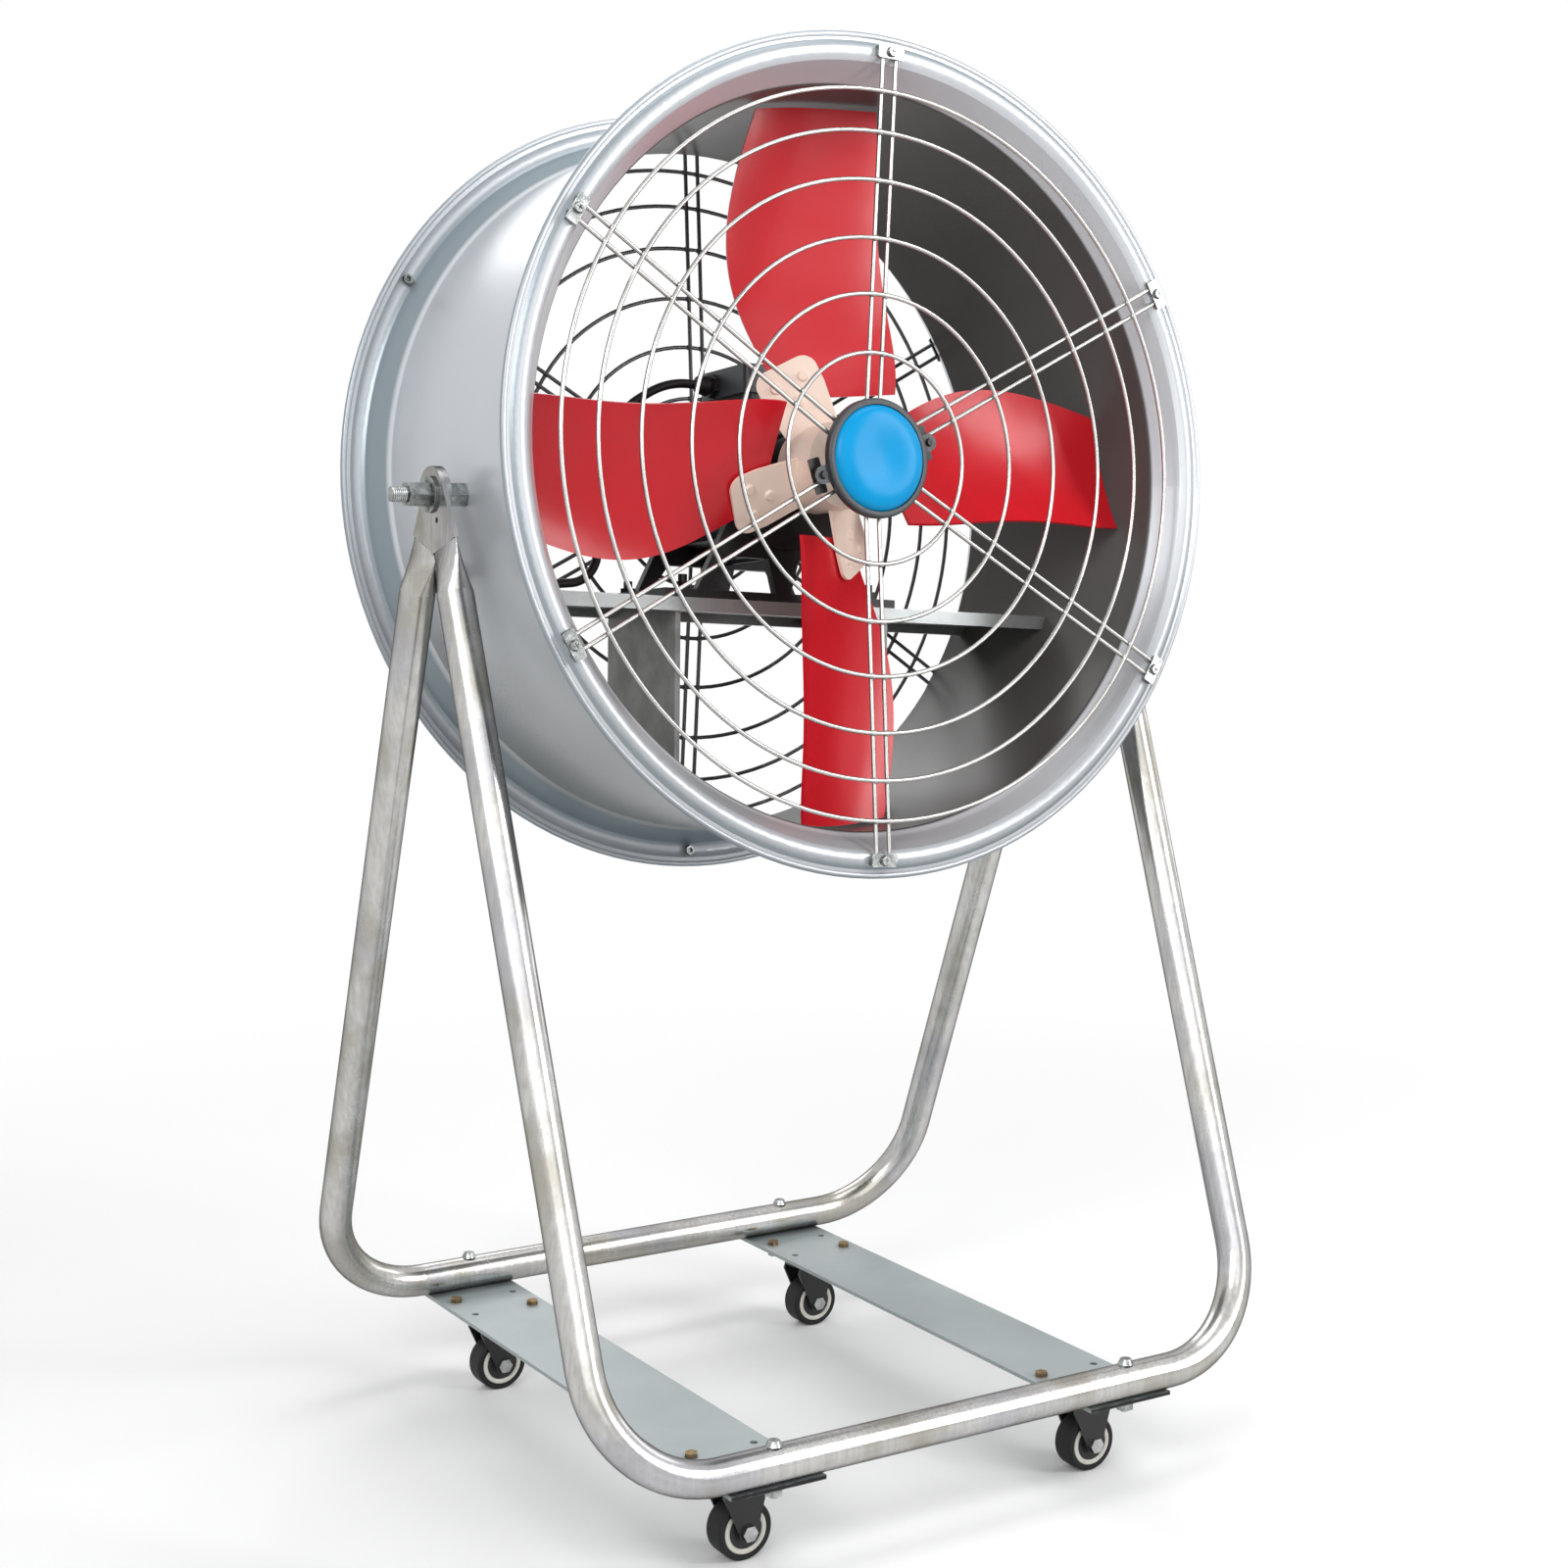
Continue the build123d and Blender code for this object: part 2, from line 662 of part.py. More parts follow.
def build_motor_frame():
    with BuildPart() as motor_frame:
        with BuildSketch(drum_face.offset(frame_rear)):
            Circle(frame_outer)
        extrude(amount=frame_front - frame_rear)
        with BuildSketch(drum_face.offset(frame_rear + shield_thickness / 2)):
            with PolarLocations(frame_outer, fin_count):
                Rectangle(2 * fin_height, fin_width)
        extrude(amount=frame_front - frame_rear - shield_thickness)
        with BuildSketch(drum_face.offset(terminal_middle - terminal_length / 2 + terminal_wall)):
            with Locations((0, (fin_radius + tab_gap) / 2)):
                Rectangle(2 * pad_half, fin_radius + tab_gap)
        extrude(amount=terminal_length - 2 * terminal_wall)
        for side in (-1, 1):
            with BuildSketch(drum_face.offset(frame_rear)):
                with Locations((side * (foot_inner + foot_half_width) / 2, foot_height / 2 - shaft_height)):
                    Rectangle(foot_half_width - foot_inner, foot_height)
            extrude(amount=frame_front - frame_rear)
        for cradle_rear in (frame_rear, frame_front - cradle_thickness):
            with BuildSketch(drum_face.offset(cradle_rear)):
                with BuildLine():
                    Polyline((-foot_inner, -shaft_height), (foot_inner, -shaft_height),
                             (cradle_knee_half, foot_height - shaft_height), (cradle_top_half, -cradle_top),
                             (-cradle_top_half, -cradle_top),
                             (-cradle_knee_half, foot_height - shaft_height), close=True)
                make_face()
                for side in (-1, 1):
                    with BuildLine():
                        Polyline((side * foot_height, -shaft_height + foot_height),
                                 (side * (foot_inner - foot_height), -shaft_height + foot_height),
                                 (side * cradle_top_half, -frame_outer - foot_height),
                                 (side * 2 * foot_height, -frame_outer - foot_height), close=True)
                    make_face(mode=Mode.SUBTRACT)
            extrude(amount=cradle_thickness)
        with BuildSketch(drum_face.offset(frame_rear)):
            Circle(frame_inner)
        extrude(amount=frame_front - frame_rear, mode=Mode.SUBTRACT)
        with BuildSketch(foot_bolt_plane):
            with Locations(*foot_bolt_spots):
                Circle(foot_bolt_radius + hole_clearance)
        extrude(amount=foot_height + seat_flange, both=True, mode=Mode.SUBTRACT)
    save(motor_frame, "motor_frame")


# the plane of the motor's feet: x to the right, y forward, z down out of the feet
foot_bolt_plane = Plane(origin=drum_point(0, -shaft_height, 0), x_dir=across, z_dir=upward * -1)
foot_bolt_spots = [(side * foot_bolt_across, ahead) for side in (-1, 1)
                   for ahead in (frame_front - foot_bolt_inset, frame_rear + foot_bolt_inset)]


def build_shields():
    housing = bearing_radius + bearing_wall
    cap_front = frame_front + shield_thickness + bearing_width - bearing_cap
    bearing_front = cap_front - bearing_cap
    with BuildPart() as motor_front_shield:
        with BuildSketch(drum_side):
            with BuildLine():
                Polyline((shaft_radius + air_gap, cap_front), (housing, cap_front),
                         (housing + bearing_cap, frame_front + shield_thickness + bearing_cap),
                         (frame_outer, frame_front + shield_thickness), (frame_outer, frame_front),
                         (bearing_radius, frame_front), (bearing_radius, bearing_front),
                         (shaft_radius + air_gap, bearing_front), close=True)
            make_face()
        revolve(axis=drum_axis)
    save(motor_front_shield, "motor_front_shield")
    cap_rear = shaft_rear - bearing_cap - air_gap
    with BuildPart() as motor_rear_shield:
        with BuildSketch(drum_side):
            with BuildLine():
                Polyline((0, cap_rear), (housing, cap_rear),
                         (housing + bearing_cap, frame_rear - shield_thickness - bearing_cap),
                         (frame_outer, frame_rear - shield_thickness), (frame_outer, frame_rear),
                         (bearing_radius, frame_rear), (bearing_radius, shaft_rear - air_gap),
                         (0, shaft_rear - air_gap), close=True)
            make_face()
        revolve(axis=drum_axis)
    save(motor_rear_shield, "motor_rear_shield")
    with BuildPart() as motor_bearings:
        for rear in (bearing_front - bearing_width, shaft_rear - air_gap):
            with BuildSketch(drum_face.offset(rear)):
                Circle(bearing_radius)
                Circle(shaft_radius + running_clearance, mode=Mode.SUBTRACT)
            extrude(amount=bearing_width)
    save(motor_bearings, "motor_bearings")


terminal_floor = fin_radius + tab_gap
terminal_rear = terminal_middle - terminal_length / 2
terminal_gland_up = terminal_floor + terminal_height / 2
# each gland plane: z points out through the wall that the gland stands in
terminal_gland_plane = Plane(origin=drum_point(-terminal_width / 2, terminal_gland_up, lead_depth),
                             x_dir=upward, z_dir=across * -1)
exit_direction = radial_direction(lead_exit_angle)
wall_gland_plane = Plane(origin=drum_centre + forward * lead_depth + exit_direction * barrel_outer,
                         x_dir=forward, z_dir=exit_direction)


def build_terminal_box():
    with BuildPart() as terminal_box:
        with BuildSketch(drum_face.offset(terminal_rear)):
            with Locations((0, terminal_floor + terminal_height / 2)):
                Rectangle(terminal_width, terminal_height)
        extrude(amount=terminal_length)
        upright = terminal_box.edges().filter_by(Axis(drum_centre, upward))
        fillet(upright, 2 * terminal_wall)
        with BuildSketch(drum_face.offset(terminal_rear + terminal_wall)):
            with Locations((0, terminal_floor + terminal_wall + terminal_height / 2)):
                Rectangle(terminal_width - 2 * terminal_wall, terminal_height)
        extrude(amount=terminal_length - 2 * terminal_wall, mode=Mode.SUBTRACT)
        with BuildSketch(terminal_gland_plane):
            Circle(gland_thread)
        extrude(amount=-2 * terminal_wall, mode=Mode.SUBTRACT)
    save(terminal_box, "terminal_box")
    with BuildPart() as terminal_lid_part:
        with BuildSketch(drum_face.offset(terminal_rear)):
            with Locations((0, terminal_floor + terminal_height + terminal_lid / 2)):
                Rectangle(terminal_width, terminal_lid)
        extrude(amount=terminal_length)
        upright = terminal_lid_part.edges().filter_by(Axis(drum_centre, upward))
        fillet(upright, 2 * terminal_wall)
    save(terminal_lid_part, "terminal_lid")


def build_glands():
    with BuildPart() as cable_glands:
        for plane, wall in ((terminal_gland_plane, terminal_wall), (wall_gland_plane, sheet)):
            inner_nut = wall + screw_tail
            with BuildSketch(plane.offset(-inner_nut)):
                Circle(gland_thread)
            extrude(amount=inner_nut + gland_length / 2)
            with BuildSketch(plane.offset(tab_gap)):
                RegularPolygon(gland_radius * nut_corner, 6)
            extrude(amount=gland_length / 3)
            with BuildSketch(plane.offset(gland_length / 2)):
                Circle(gland_radius)
            extrude(amount=gland_length / 2, taper=gland_taper)
            with BuildSketch(plane.offset(-2 * gland_length)):
                Circle(lead_radius + gland_bore_clearance)
            extrude(amount=4 * gland_length, mode=Mode.SUBTRACT)
    save(cable_glands, "cable_glands")


def around(radius, angle):
    """A point of the drum's cross-section, from its distance to the axis and its angle."""
    return radius * cos(radians(angle)), radius * sin(radians(angle))


def build_lead():
    """The motor's lead: out of its box, down behind the blades and out through the drum's wall."""
    box_side = -terminal_width / 2
    bends = [(box_side - outward, terminal_gland_up - down) for outward, down in lead_bends]
    route = [(box_side, terminal_gland_up), *bends, (bends[-1][0], lead_above_seat - shaft_height),
             around(barrel_radius - lead_turn_inset, lead_turn_angle),
             around(barrel_radius - gland_length, lead_exit_angle), around(barrel_outer, lead_exit_angle)]
    radii = []
    for before, corner, after in zip(route, route[1:], route[2:]):
        first = Vector(*corner) - Vector(*before)
        second = Vector(*after) - Vector(*corner)
        turn = radians(first.get_angle(second))
        radii.append(lead_bend_share * min(first.length, second.length) / tan(turn / 2))
    print("lead bend radii:", [round(radius) for radius in radii])
    with BuildPart() as motor_lead:
        with BuildLine(drum_face.offset(lead_depth)) as lead_line:
            FilletPolyline(*route, radius=radii)
        with BuildSketch(Plane(origin=lead_line.line @ 0, z_dir=lead_line.line % 0)):
            Circle(lead_radius)
        sweep(path=lead_line.line)
    length = sum(edge.length for edge in lead_line.line.edges())
    print("lead volume over section times length:",
          round(motor_lead.part.volume / (pi * lead_radius**2 * length), 4))
    save(motor_lead, "motor_lead")


# ================================================================ the motor's seat in the drum

def build_seat():
    top = -shaft_height
    inside = barrel_radius - seat_clearance
    with BuildPart() as motor_seat:
        with BuildSketch(drum_face.offset(seat_rear)):
            with Locations((0, top - seat_sheet / 2)):
                Rectangle(2 * inside, seat_sheet)
        extrude(amount=seat_front - seat_rear)
        for rear in (seat_rear, seat_front - seat_sheet):
            with BuildSketch(drum_face.offset(rear)):
                with Locations((0, top - seat_flange / 2)):
                    Rectangle(2 * inside, seat_flange)
            extrude(amount=seat_sheet)
        with BuildSketch(drum_face.offset(seat_rear)):
            Circle(inside)
        extrude(amount=seat_front - seat_rear, mode=Mode.INTERSECT)
        with BuildSketch(foot_bolt_plane):
            with Locations(*foot_bolt_spots):
                Circle(foot_bolt_radius + hole_clearance)
        extrude(amount=seat_flange, both=True, mode=Mode.SUBTRACT)
    save(motor_seat, "motor_seat")
    leg_top = top - seat_sheet
    with BuildPart() as seat_legs:
        for side in (-1, 1):
            with BuildSketch(drum_face.offset(seat_rear + seat_sheet + tab_gap)):
                with Locations((side * seat_leg_across, leg_top - barrel_radius / 2)):
                    Rectangle(seat_leg_sheet, barrel_radius)
            extrude(amount=seat_front - seat_rear - 2 * (seat_sheet + tab_gap))
        with BuildSketch(drum_face.offset(seat_rear)):
            Circle(inside)
        extrude(amount=seat_front - seat_rear, mode=Mode.INTERSECT)
    save(seat_legs, "seat_legs")


def build_motor_fasteners():
    head_radius = foot_bolt_flats / 2 * nut_corner
    with BuildPart() as motor_bolts:
        with BuildSketch(foot_bolt_plane.offset(seat_sheet)):
            with Locations(*foot_bolt_spots):
                Circle(foot_bolt_radius)
        extrude(amount=-(seat_sheet + foot_height + 2 * foot_bolt_nut_height))
        with BuildSketch(foot_bolt_plane.offset(seat_sheet)):
            with Locations(*foot_bolt_spots):
                RegularPolygon(head_radius, 6)
        extrude(amount=foot_bolt_head_height)
    save(motor_bolts, "motor_bolts")
    with BuildPart() as motor_nuts:
        with BuildSketch(foot_bolt_plane.offset(-foot_height)):
            with Locations(*foot_bolt_spots):
                RegularPolygon(head_radius, 6)
                Circle(foot_bolt_radius, mode=Mode.SUBTRACT)
        extrude(amount=-foot_bolt_nut_height)
    save(motor_nuts, "motor_nuts")


# ================================================================ the tilt pivots

tab_inner = leg_spread_high - tab_thickness - tab_gap / 2
tab_outer = leg_spread_high + tab_thickness + tab_gap / 2
barrel_nut_seat = barrel_outer + tab_gap
inner_washer_seat = chord_half(barrel_radius, axis_above_pivot + pivot_washer_radius) - tab_gap


def build_pivots():
    head_seat = inner_washer_seat - pivot_washer_thickness
    tab_washer_seat = tab_inner - pivot_washer_clearance - pivot_washer_thickness
    outer_washer_seat = tab_outer + pivot_washer_clearance
    outer_nut_seat = outer_washer_seat + pivot_washer_thickness
    inner_nut_seat = barrel_nut_seat + pivot_nut_height
    with BuildPart() as pivot_bolts:
        for side in (-1, 1):
            with BuildSketch(Plane.YZ.offset(side * head_seat)):
                with Locations((0, pivot_height)):
                    RegularPolygon(pivot_nut_flats / 2 * nut_corner, 6)
            extrude(amount=-side * pivot_head_height)
            with BuildSketch(Plane.YZ.offset(side * head_seat)):
                with Locations((0, pivot_height)):
                    Circle(pivot_bolt_radius)
            extrude(amount=side * (pivot_bolt_end - head_seat))
    save(pivot_bolts, "pivot_bolts")
    with BuildPart() as pivot_washers:
        for side in (-1, 1):
            for seat in (head_seat, tab_washer_seat, outer_washer_seat):
                with BuildSketch(Plane.YZ.offset(side * seat)):
                    with Locations((0, pivot_height)):
                        Circle(pivot_washer_radius)
                        Circle(pivot_bolt_radius, mode=Mode.SUBTRACT)
                extrude(amount=side * pivot_washer_thickness)
    save(pivot_washers, "pivot_washers")
    nuts = ((barrel_nut_seat, pivot_nut_height), (inner_nut_seat, tab_washer_seat - inner_nut_seat),
            (outer_nut_seat, pivot_nut_height), (outer_nut_seat + pivot_nut_height, pivot_nut_height))
    with BuildPart() as pivot_nuts:
        for side in (-1, 1):
            for seat, height in nuts:
                with BuildSketch(Plane.YZ.offset(side * seat)):
                    with Locations((0, pivot_height)):
                        RegularPolygon(pivot_nut_flats / 2 * nut_corner, 6)
                        Circle(pivot_bolt_radius, mode=Mode.SUBTRACT)
                extrude(amount=side * height)
    save(pivot_nuts, "pivot_nuts")


# ================================================================ the stand

def build_frame_tube(name, side, tab_shift):
    """One bent tube: leg, bar and leg, its two ends squeezed flat into the tabs of the pivots."""
    low = Vector(leg_spread_low, side * bar_reach, bar_height)
    high = Vector(leg_spread_high, side * flat_width / 2, pivot_height - flat_drop)
    rise = (high - low).normalized()
    round_end = high - rise * squeeze_length
    mirrored = Vector(-round_end.X, round_end.Y, round_end.Z)
    with BuildPart() as frame_tube:
        with BuildLine() as tube_line:
            FilletPolyline(mirrored, (-low.X, low.Y, low.Z), low, round_end, radius=bend_radius)
        with BuildSketch(Plane(origin=tube_line.line @ 0, z_dir=tube_line.line % 0)):
            Circle(tube_radius)
            Circle(tube_radius - tube_wall, mode=Mode.SUBTRACT)
        sweep(path=tube_line.line)
        for end in (-1, 1):
            flat_rise = Vector(end * rise.X, rise.Y, rise.Z)
            flat_across = flat_rise.cross(level)
            with BuildSketch(Plane(origin=(end * round_end.X, round_end.Y, round_end.Z), x_dir=flat_across,
                                   z_dir=flat_rise)):
                Circle(tube_radius)
            with BuildSketch(Plane(origin=(end * (high.X + tab_shift), high.Y, high.Z), x_dir=flat_across,
                                   z_dir=flat_rise)):
                Ellipse(flat_width / 2, flat_bulge * tab_thickness / 2)
            loft()
            inner = leg_spread_high + tab_shift - tab_thickness / 2
            slope = Vector(0, rise.Y, rise.Z).normalized()
            reach = Vector(0, slope.Z, -slope.Y) * (flat_width / 2)
            with BuildSketch(Plane.YZ.offset(end * inner)):
                with BuildLine():
                    CenterArc((0, pivot_height), tab_radius, 0, 360)
                    Line((high.Y + reach.Y, high.Z + reach.Z), (high.Y - reach.Y, high.Z - reach.Z))
                make_hull()
            extrude(amount=end * tab_thickness)
        with BuildSketch(Plane.YZ):
            with Locations((0, pivot_height)):
                Circle(pivot_bolt_radius + pivot_running_clearance)
        extrude(amount=rim_radius, both=True, mode=Mode.SUBTRACT)
        with BuildSketch(Plane.XY):
            with Locations((-plate_across, side * bar_reach), (plate_across, side * bar_reach)):
                Circle(tube_bolt_radius)
        extrude(amount=bar_height + 2 * tube_radius, mode=Mode.SUBTRACT)
        if tab_shift > 0:
            with BuildSketch(Plane.YZ):
                with Locations((high.Y / 2, (high.Z + pivot_height) / 2)):
                    Circle(punch_hole_radius)
            extrude(amount=rim_radius, both=True, mode=Mode.SUBTRACT)
    save(frame_tube, name)


caster_spots = [(side * caster_across, end * caster_reach) for end in (-1, 1) for side in (-1, 1)]
caster_names = ("front_left", "front_right", "rear_left", "rear_right")


def caster_holes(only_bolted):
    """Hole centres around one caster: all four corners, or the two that hold bolts."""
    corners = [(-1, 1), (1, -1)] if only_bolted else [(-1, 1), (1, -1), (1, 1), (-1, -1)]
    return [(x * caster_hole_across / 2, y * caster_hole_along / 2) for x, y in corners]


def build_base_plates():
    for name, side in (("base_plate_left", -1), ("base_plate_right", 1)):
        with BuildPart() as base_plate:
            with BuildSketch(Plane.XY.offset(plate_bottom)):
                with Locations((side * plate_across, 0)):
                    Rectangle(plate_width, 2 * (bar_reach + plate_overhang))
                with Locations((side * plate_across, -bar_reach), (side * plate_across, bar_reach)):
                    Circle(tube_bolt_radius, mode=Mode.SUBTRACT)
                for end in (-1, 1):
                    with Locations((side * caster_across, end * caster_reach)):
                        with Locations(*caster_holes(False)):
                            Circle(caster_hole_radius, mode=Mode.SUBTRACT)
            extrude(amount=plate_thickness)
        save(base_plate, name)


def build_stand_fasteners():
    tube_spots = [(x, y) for x in (-plate_across, plate_across) for y in (-bar_reach, bar_reach)]
    tube_top = bar_height + tube_radius
    with BuildPart() as tube_bolts:
        with BuildSketch(Plane.XY.offset(plate_bottom - tube_nut_height - screw_tail)):
            with Locations(*tube_spots):
                Circle(tube_bolt_radius)
        extrude(amount=tube_top - plate_bottom + tube_nut_height + screw_tail)
        with BuildSketch(Plane.XY.offset(tube_top)):
            with Locations(*tube_spots):
                Circle(tube_bolt_head)
        extrude(amount=tube_bolt_head_height, taper=tube_bolt_head_taper)
    save(tube_bolts, "tube_bolts")
    plates = plate_thickness + caster_plate_thickness
    with BuildPart() as caster_bolts:
        for spot in caster_spots:
            with BuildSketch(Plane.XY.offset(plate_top - plates - 2 * caster_bolt_radius)):
                with Locations(spot):
                    with Locations(*caster_holes(True)):
                        Circle(caster_bolt_radius)
            extrude(amount=plates + 2 * caster_bolt_radius)
            with BuildSketch(Plane.XY.offset(plate_top)):
                with Locations(spot):
                    with Locations(*caster_holes(True)):
                        RegularPolygon(caster_bolt_flats / 2 * nut_corner, 6)
            extrude(amount=caster_bolt_head_height)
    save(caster_bolts, "caster_bolts")
    with BuildPart() as base_nuts:
        with BuildSketch(Plane.XY.offset(plate_bottom)):
            with Locations(*tube_spots):
                RegularPolygon(tube_bolt_head * nut_corner, 6)
                Circle(tube_bolt_radius, mode=Mode.SUBTRACT)
        extrude(amount=-tube_nut_height)
        for spot in caster_spots:
            with BuildSketch(Plane.XY.offset(plate_top - plates)):
                with Locations(spot):
                    with Locations(*caster_holes(True)):
                        RegularPolygon(caster_bolt_flats / 2 * nut_corner, 6)
                        Circle(caster_bolt_radius, mode=Mode.SUBTRACT)
            extrude(amount=-caster_nut_height)
    save(base_nuts, "base_nuts")


# ================================================================ the casters

caster_plate_bottom = plate_bottom - caster_plate_thickness
raceway_bottom = caster_plate_bottom - raceway_height
crown_top = raceway_bottom - swivel_gap
hub_half = wheel_width / 2 + fork_sheet / 2
fork_inside = hub_half + swivel_gap


def build_caster_plates():
    with BuildPart() as caster_plates:
        with BuildSketch(Plane.XY.offset(caster_plate_bottom)):
            for spot in caster_spots:
                with Locations(spot):
                    RectangleRounded(caster_plate_length, caster_plate_width, 2 * caster_plate_thickness)
                    with Locations(*caster_holes(False)):
                        Circle(caster_hole_radius, mode=Mode.SUBTRACT)
        extrude(amount=caster_plate_thickness)
        with BuildSketch(Plane.XY.offset(caster_plate_bottom)):
            with Locations(*caster_spots):
                Circle(raceway_radius)
        extrude(amount=-raceway_height, taper=raceway_taper)
        with BuildSketch(Plane.XY.offset(raceway_bottom)):
            with Locations(*caster_spots):
                Circle(kingpin_radius)
        extrude(amount=raceway_height + caster_plate_thickness, mode=Mode.SUBTRACT)
    save(caster_plates, "caster_plates")
    with BuildPart() as caster_kingpins:
        with BuildSketch(Plane.XY.offset(crown_top - fork_sheet - swivel_gap)):
            with Locations(*caster_spots):
                Circle(kingpin_radius)
        extrude(amount=plate_bottom - crown_top + fork_sheet + swivel_gap)
        with BuildSketch(Plane.XY.offset(crown_top - fork_sheet - swivel_gap)):
            with Locations(*caster_spots):
                Circle(kingpin_head_radius)
        extrude(amount=-fork_sheet)
    save(caster_kingpins, "caster_kingpins")


def build_fork(name, spot):
    x, y = spot
    axle = x + caster_trail
    crown_half = chord_half(fork_crown_radius, fork_inside + fork_sheet)
    shoulder = fork_crown_radius - fork_sheet
    shoulder_height = crown_top - raceway_height
    with BuildPart() as fork:
        with BuildSketch(Plane.XY.offset(crown_top)):
            with Locations(spot):
                Circle(fork_crown_radius)
        extrude(amount=-fork_sheet)
        for side in (-1, 1):
            with BuildSketch(Plane.XZ.offset(-y - side * fork_inside)):
                with BuildLine():
                    toe = CenterArc((axle, wheel_radius), fork_toe_radius, 180, 180)
                    Polyline(toe @ 1, (x + shoulder, shoulder_height), (x + crown_half, crown_top),
                             (x - crown_half, crown_top), (x - shoulder, shoulder_height), toe @ 0)
                make_face()
                with Locations((axle, wheel_radius)):
                    Circle(axle_radius, mode=Mode.SUBTRACT)
            extrude(amount=-side * fork_sheet)
        with BuildSketch(Plane.XY.offset(crown_top)):
            with Locations(spot):
                Circle(kingpin_radius + running_clearance)
        extrude(amount=-fork_sheet, mode=Mode.SUBTRACT)
    save(fork, f"fork_{name}")


def build_axle(name, spot):
    x, y = spot
    fork_outside = fork_inside + fork_sheet
    with BuildPart() as axle_bolt:
        with BuildSketch(Plane.XZ.offset(-y - fork_outside - axle_radius)):
            with Locations((x + caster_trail, wheel_radius)):
                Circle(axle_radius)
        extrude(amount=2 * fork_outside + axle_radius)
        for side in (-1, 1):
            with BuildSketch(Plane.XZ.offset(-y + side * fork_outside)):
                with Locations((x + caster_trail, wheel_radius)):
                    RegularPolygon(axle_head_radius, 6)
            extrude(amount=side * axle_radius)
    save(axle_bolt, f"axle_{name}")


def build_tyre(name, spot):
    x, y = spot
    with BuildPart() as tyre:
        with BuildSketch(Plane.XZ.offset(-y - wheel_width / 2)):
            with Locations((x + caster_trail, wheel_radius)):
                Circle(wheel_radius)
                Circle(wheel_radius - tyre_thickness, mode=Mode.SUBTRACT)
        extrude(amount=wheel_width)
        outer_edges = tyre.edges().filter_by(GeomType.CIRCLE).group_by(SortBy.RADIUS)[-1]
        fillet(outer_edges, tyre_thickness / 2)
    save(tyre, f"tyre_{name}")


def build_wheel_core(name, spot):
    x, y = spot
    with BuildPart() as wheel_core:
        with BuildSketch(Plane.XZ.offset(-y - wheel_width / 2 + wheel_recess)):
            with Locations((x + caster_trail, wheel_radius)):
                Circle(wheel_radius - tyre_thickness)
        extrude(amount=wheel_width - 2 * wheel_recess)
        with BuildSketch(Plane.XZ.offset(-y - hub_half)):
            with Locations((x + caster_trail, wheel_radius)):
                Circle(wheel_boss_radius)
        extrude(amount=2 * hub_half)
        with BuildSketch(Plane.XZ.offset(-y - hub_half)):
            with Locations((x + caster_trail, wheel_radius)):
                Circle(axle_radius + running_clearance)
        extrude(amount=2 * hub_half, mode=Mode.SUBTRACT)
    save(wheel_core, f"wheel_core_{name}")


build_drum_shell()
build_guard("front_guard", 1, front_reach)
build_guard("rear_guard", -1, rear_reach)
build_guard_clips()
build_guard_fasteners()
build_badge()
for count, blade_angle in enumerate(blade_angles, 1):
    build_blade(f"blade_{count}", blade_angle)
build_hub()
build_hub_fasteners()
build_shaft_and_core()
build_stator()
build_motor_frame()
build_shields()
build_terminal_box()
build_glands()
build_lead()
build_seat()
build_motor_fasteners()
build_pivots()
build_frame_tube("frame_tube_front", -1, (tab_thickness + tab_gap) / 2)
build_frame_tube("frame_tube_rear", 1, -(tab_thickness + tab_gap) / 2)
build_base_plates()
build_stand_fasteners()
build_caster_plates()
for caster_name, caster_spot in zip(caster_names, caster_spots):
    build_fork(caster_name, caster_spot)
    build_axle(caster_name, caster_spot)
    build_tyre(caster_name, caster_spot)
    build_wheel_core(caster_name, caster_spot)
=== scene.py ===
"""The looks of the drum fan: finishes, small rolled and cast details, studio and camera.

All lengths are in metres and all angles in degrees, in the frame of the CAD model:
the origin is on the floor under the tilt pivots, +Z is up and the air leaves toward -Y.
"""

import json
import math

import bmesh
import bpy
from mathutils import Matrix, Vector


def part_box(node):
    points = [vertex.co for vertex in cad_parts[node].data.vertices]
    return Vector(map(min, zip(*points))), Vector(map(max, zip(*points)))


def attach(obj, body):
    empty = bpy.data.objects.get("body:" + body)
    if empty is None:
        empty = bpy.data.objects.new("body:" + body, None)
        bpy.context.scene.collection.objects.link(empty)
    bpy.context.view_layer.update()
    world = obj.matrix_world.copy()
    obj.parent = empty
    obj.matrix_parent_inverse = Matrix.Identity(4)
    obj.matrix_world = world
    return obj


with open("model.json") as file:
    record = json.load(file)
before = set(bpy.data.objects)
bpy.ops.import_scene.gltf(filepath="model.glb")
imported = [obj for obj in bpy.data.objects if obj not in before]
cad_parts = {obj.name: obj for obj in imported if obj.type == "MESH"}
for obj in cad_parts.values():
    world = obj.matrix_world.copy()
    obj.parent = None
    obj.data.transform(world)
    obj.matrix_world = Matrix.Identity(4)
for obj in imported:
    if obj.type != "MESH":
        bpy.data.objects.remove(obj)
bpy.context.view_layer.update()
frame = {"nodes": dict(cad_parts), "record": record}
nodes = frame["nodes"]

# ---------------------------------------------------------------- measures shared by the pieces
FULL_TURN = 2 * math.pi
REST_TILT = math.radians(5.7)
FORWARD = Vector((0, -math.cos(REST_TILT), math.sin(REST_TILT)))
UPWARD = Vector((0, math.sin(REST_TILT), math.cos(REST_TILT)))
ACROSS = Vector((1, 0, 0))
PIVOT = Vector((0, 0, 0.849))
AXIS_ABOVE_PIVOT = 0.020
DRUM_CENTRE = PIVOT + UPWARD * AXIS_ABOVE_PIVOT
CASTERS = ("front_left", "front_right", "rear_left", "rear_right")


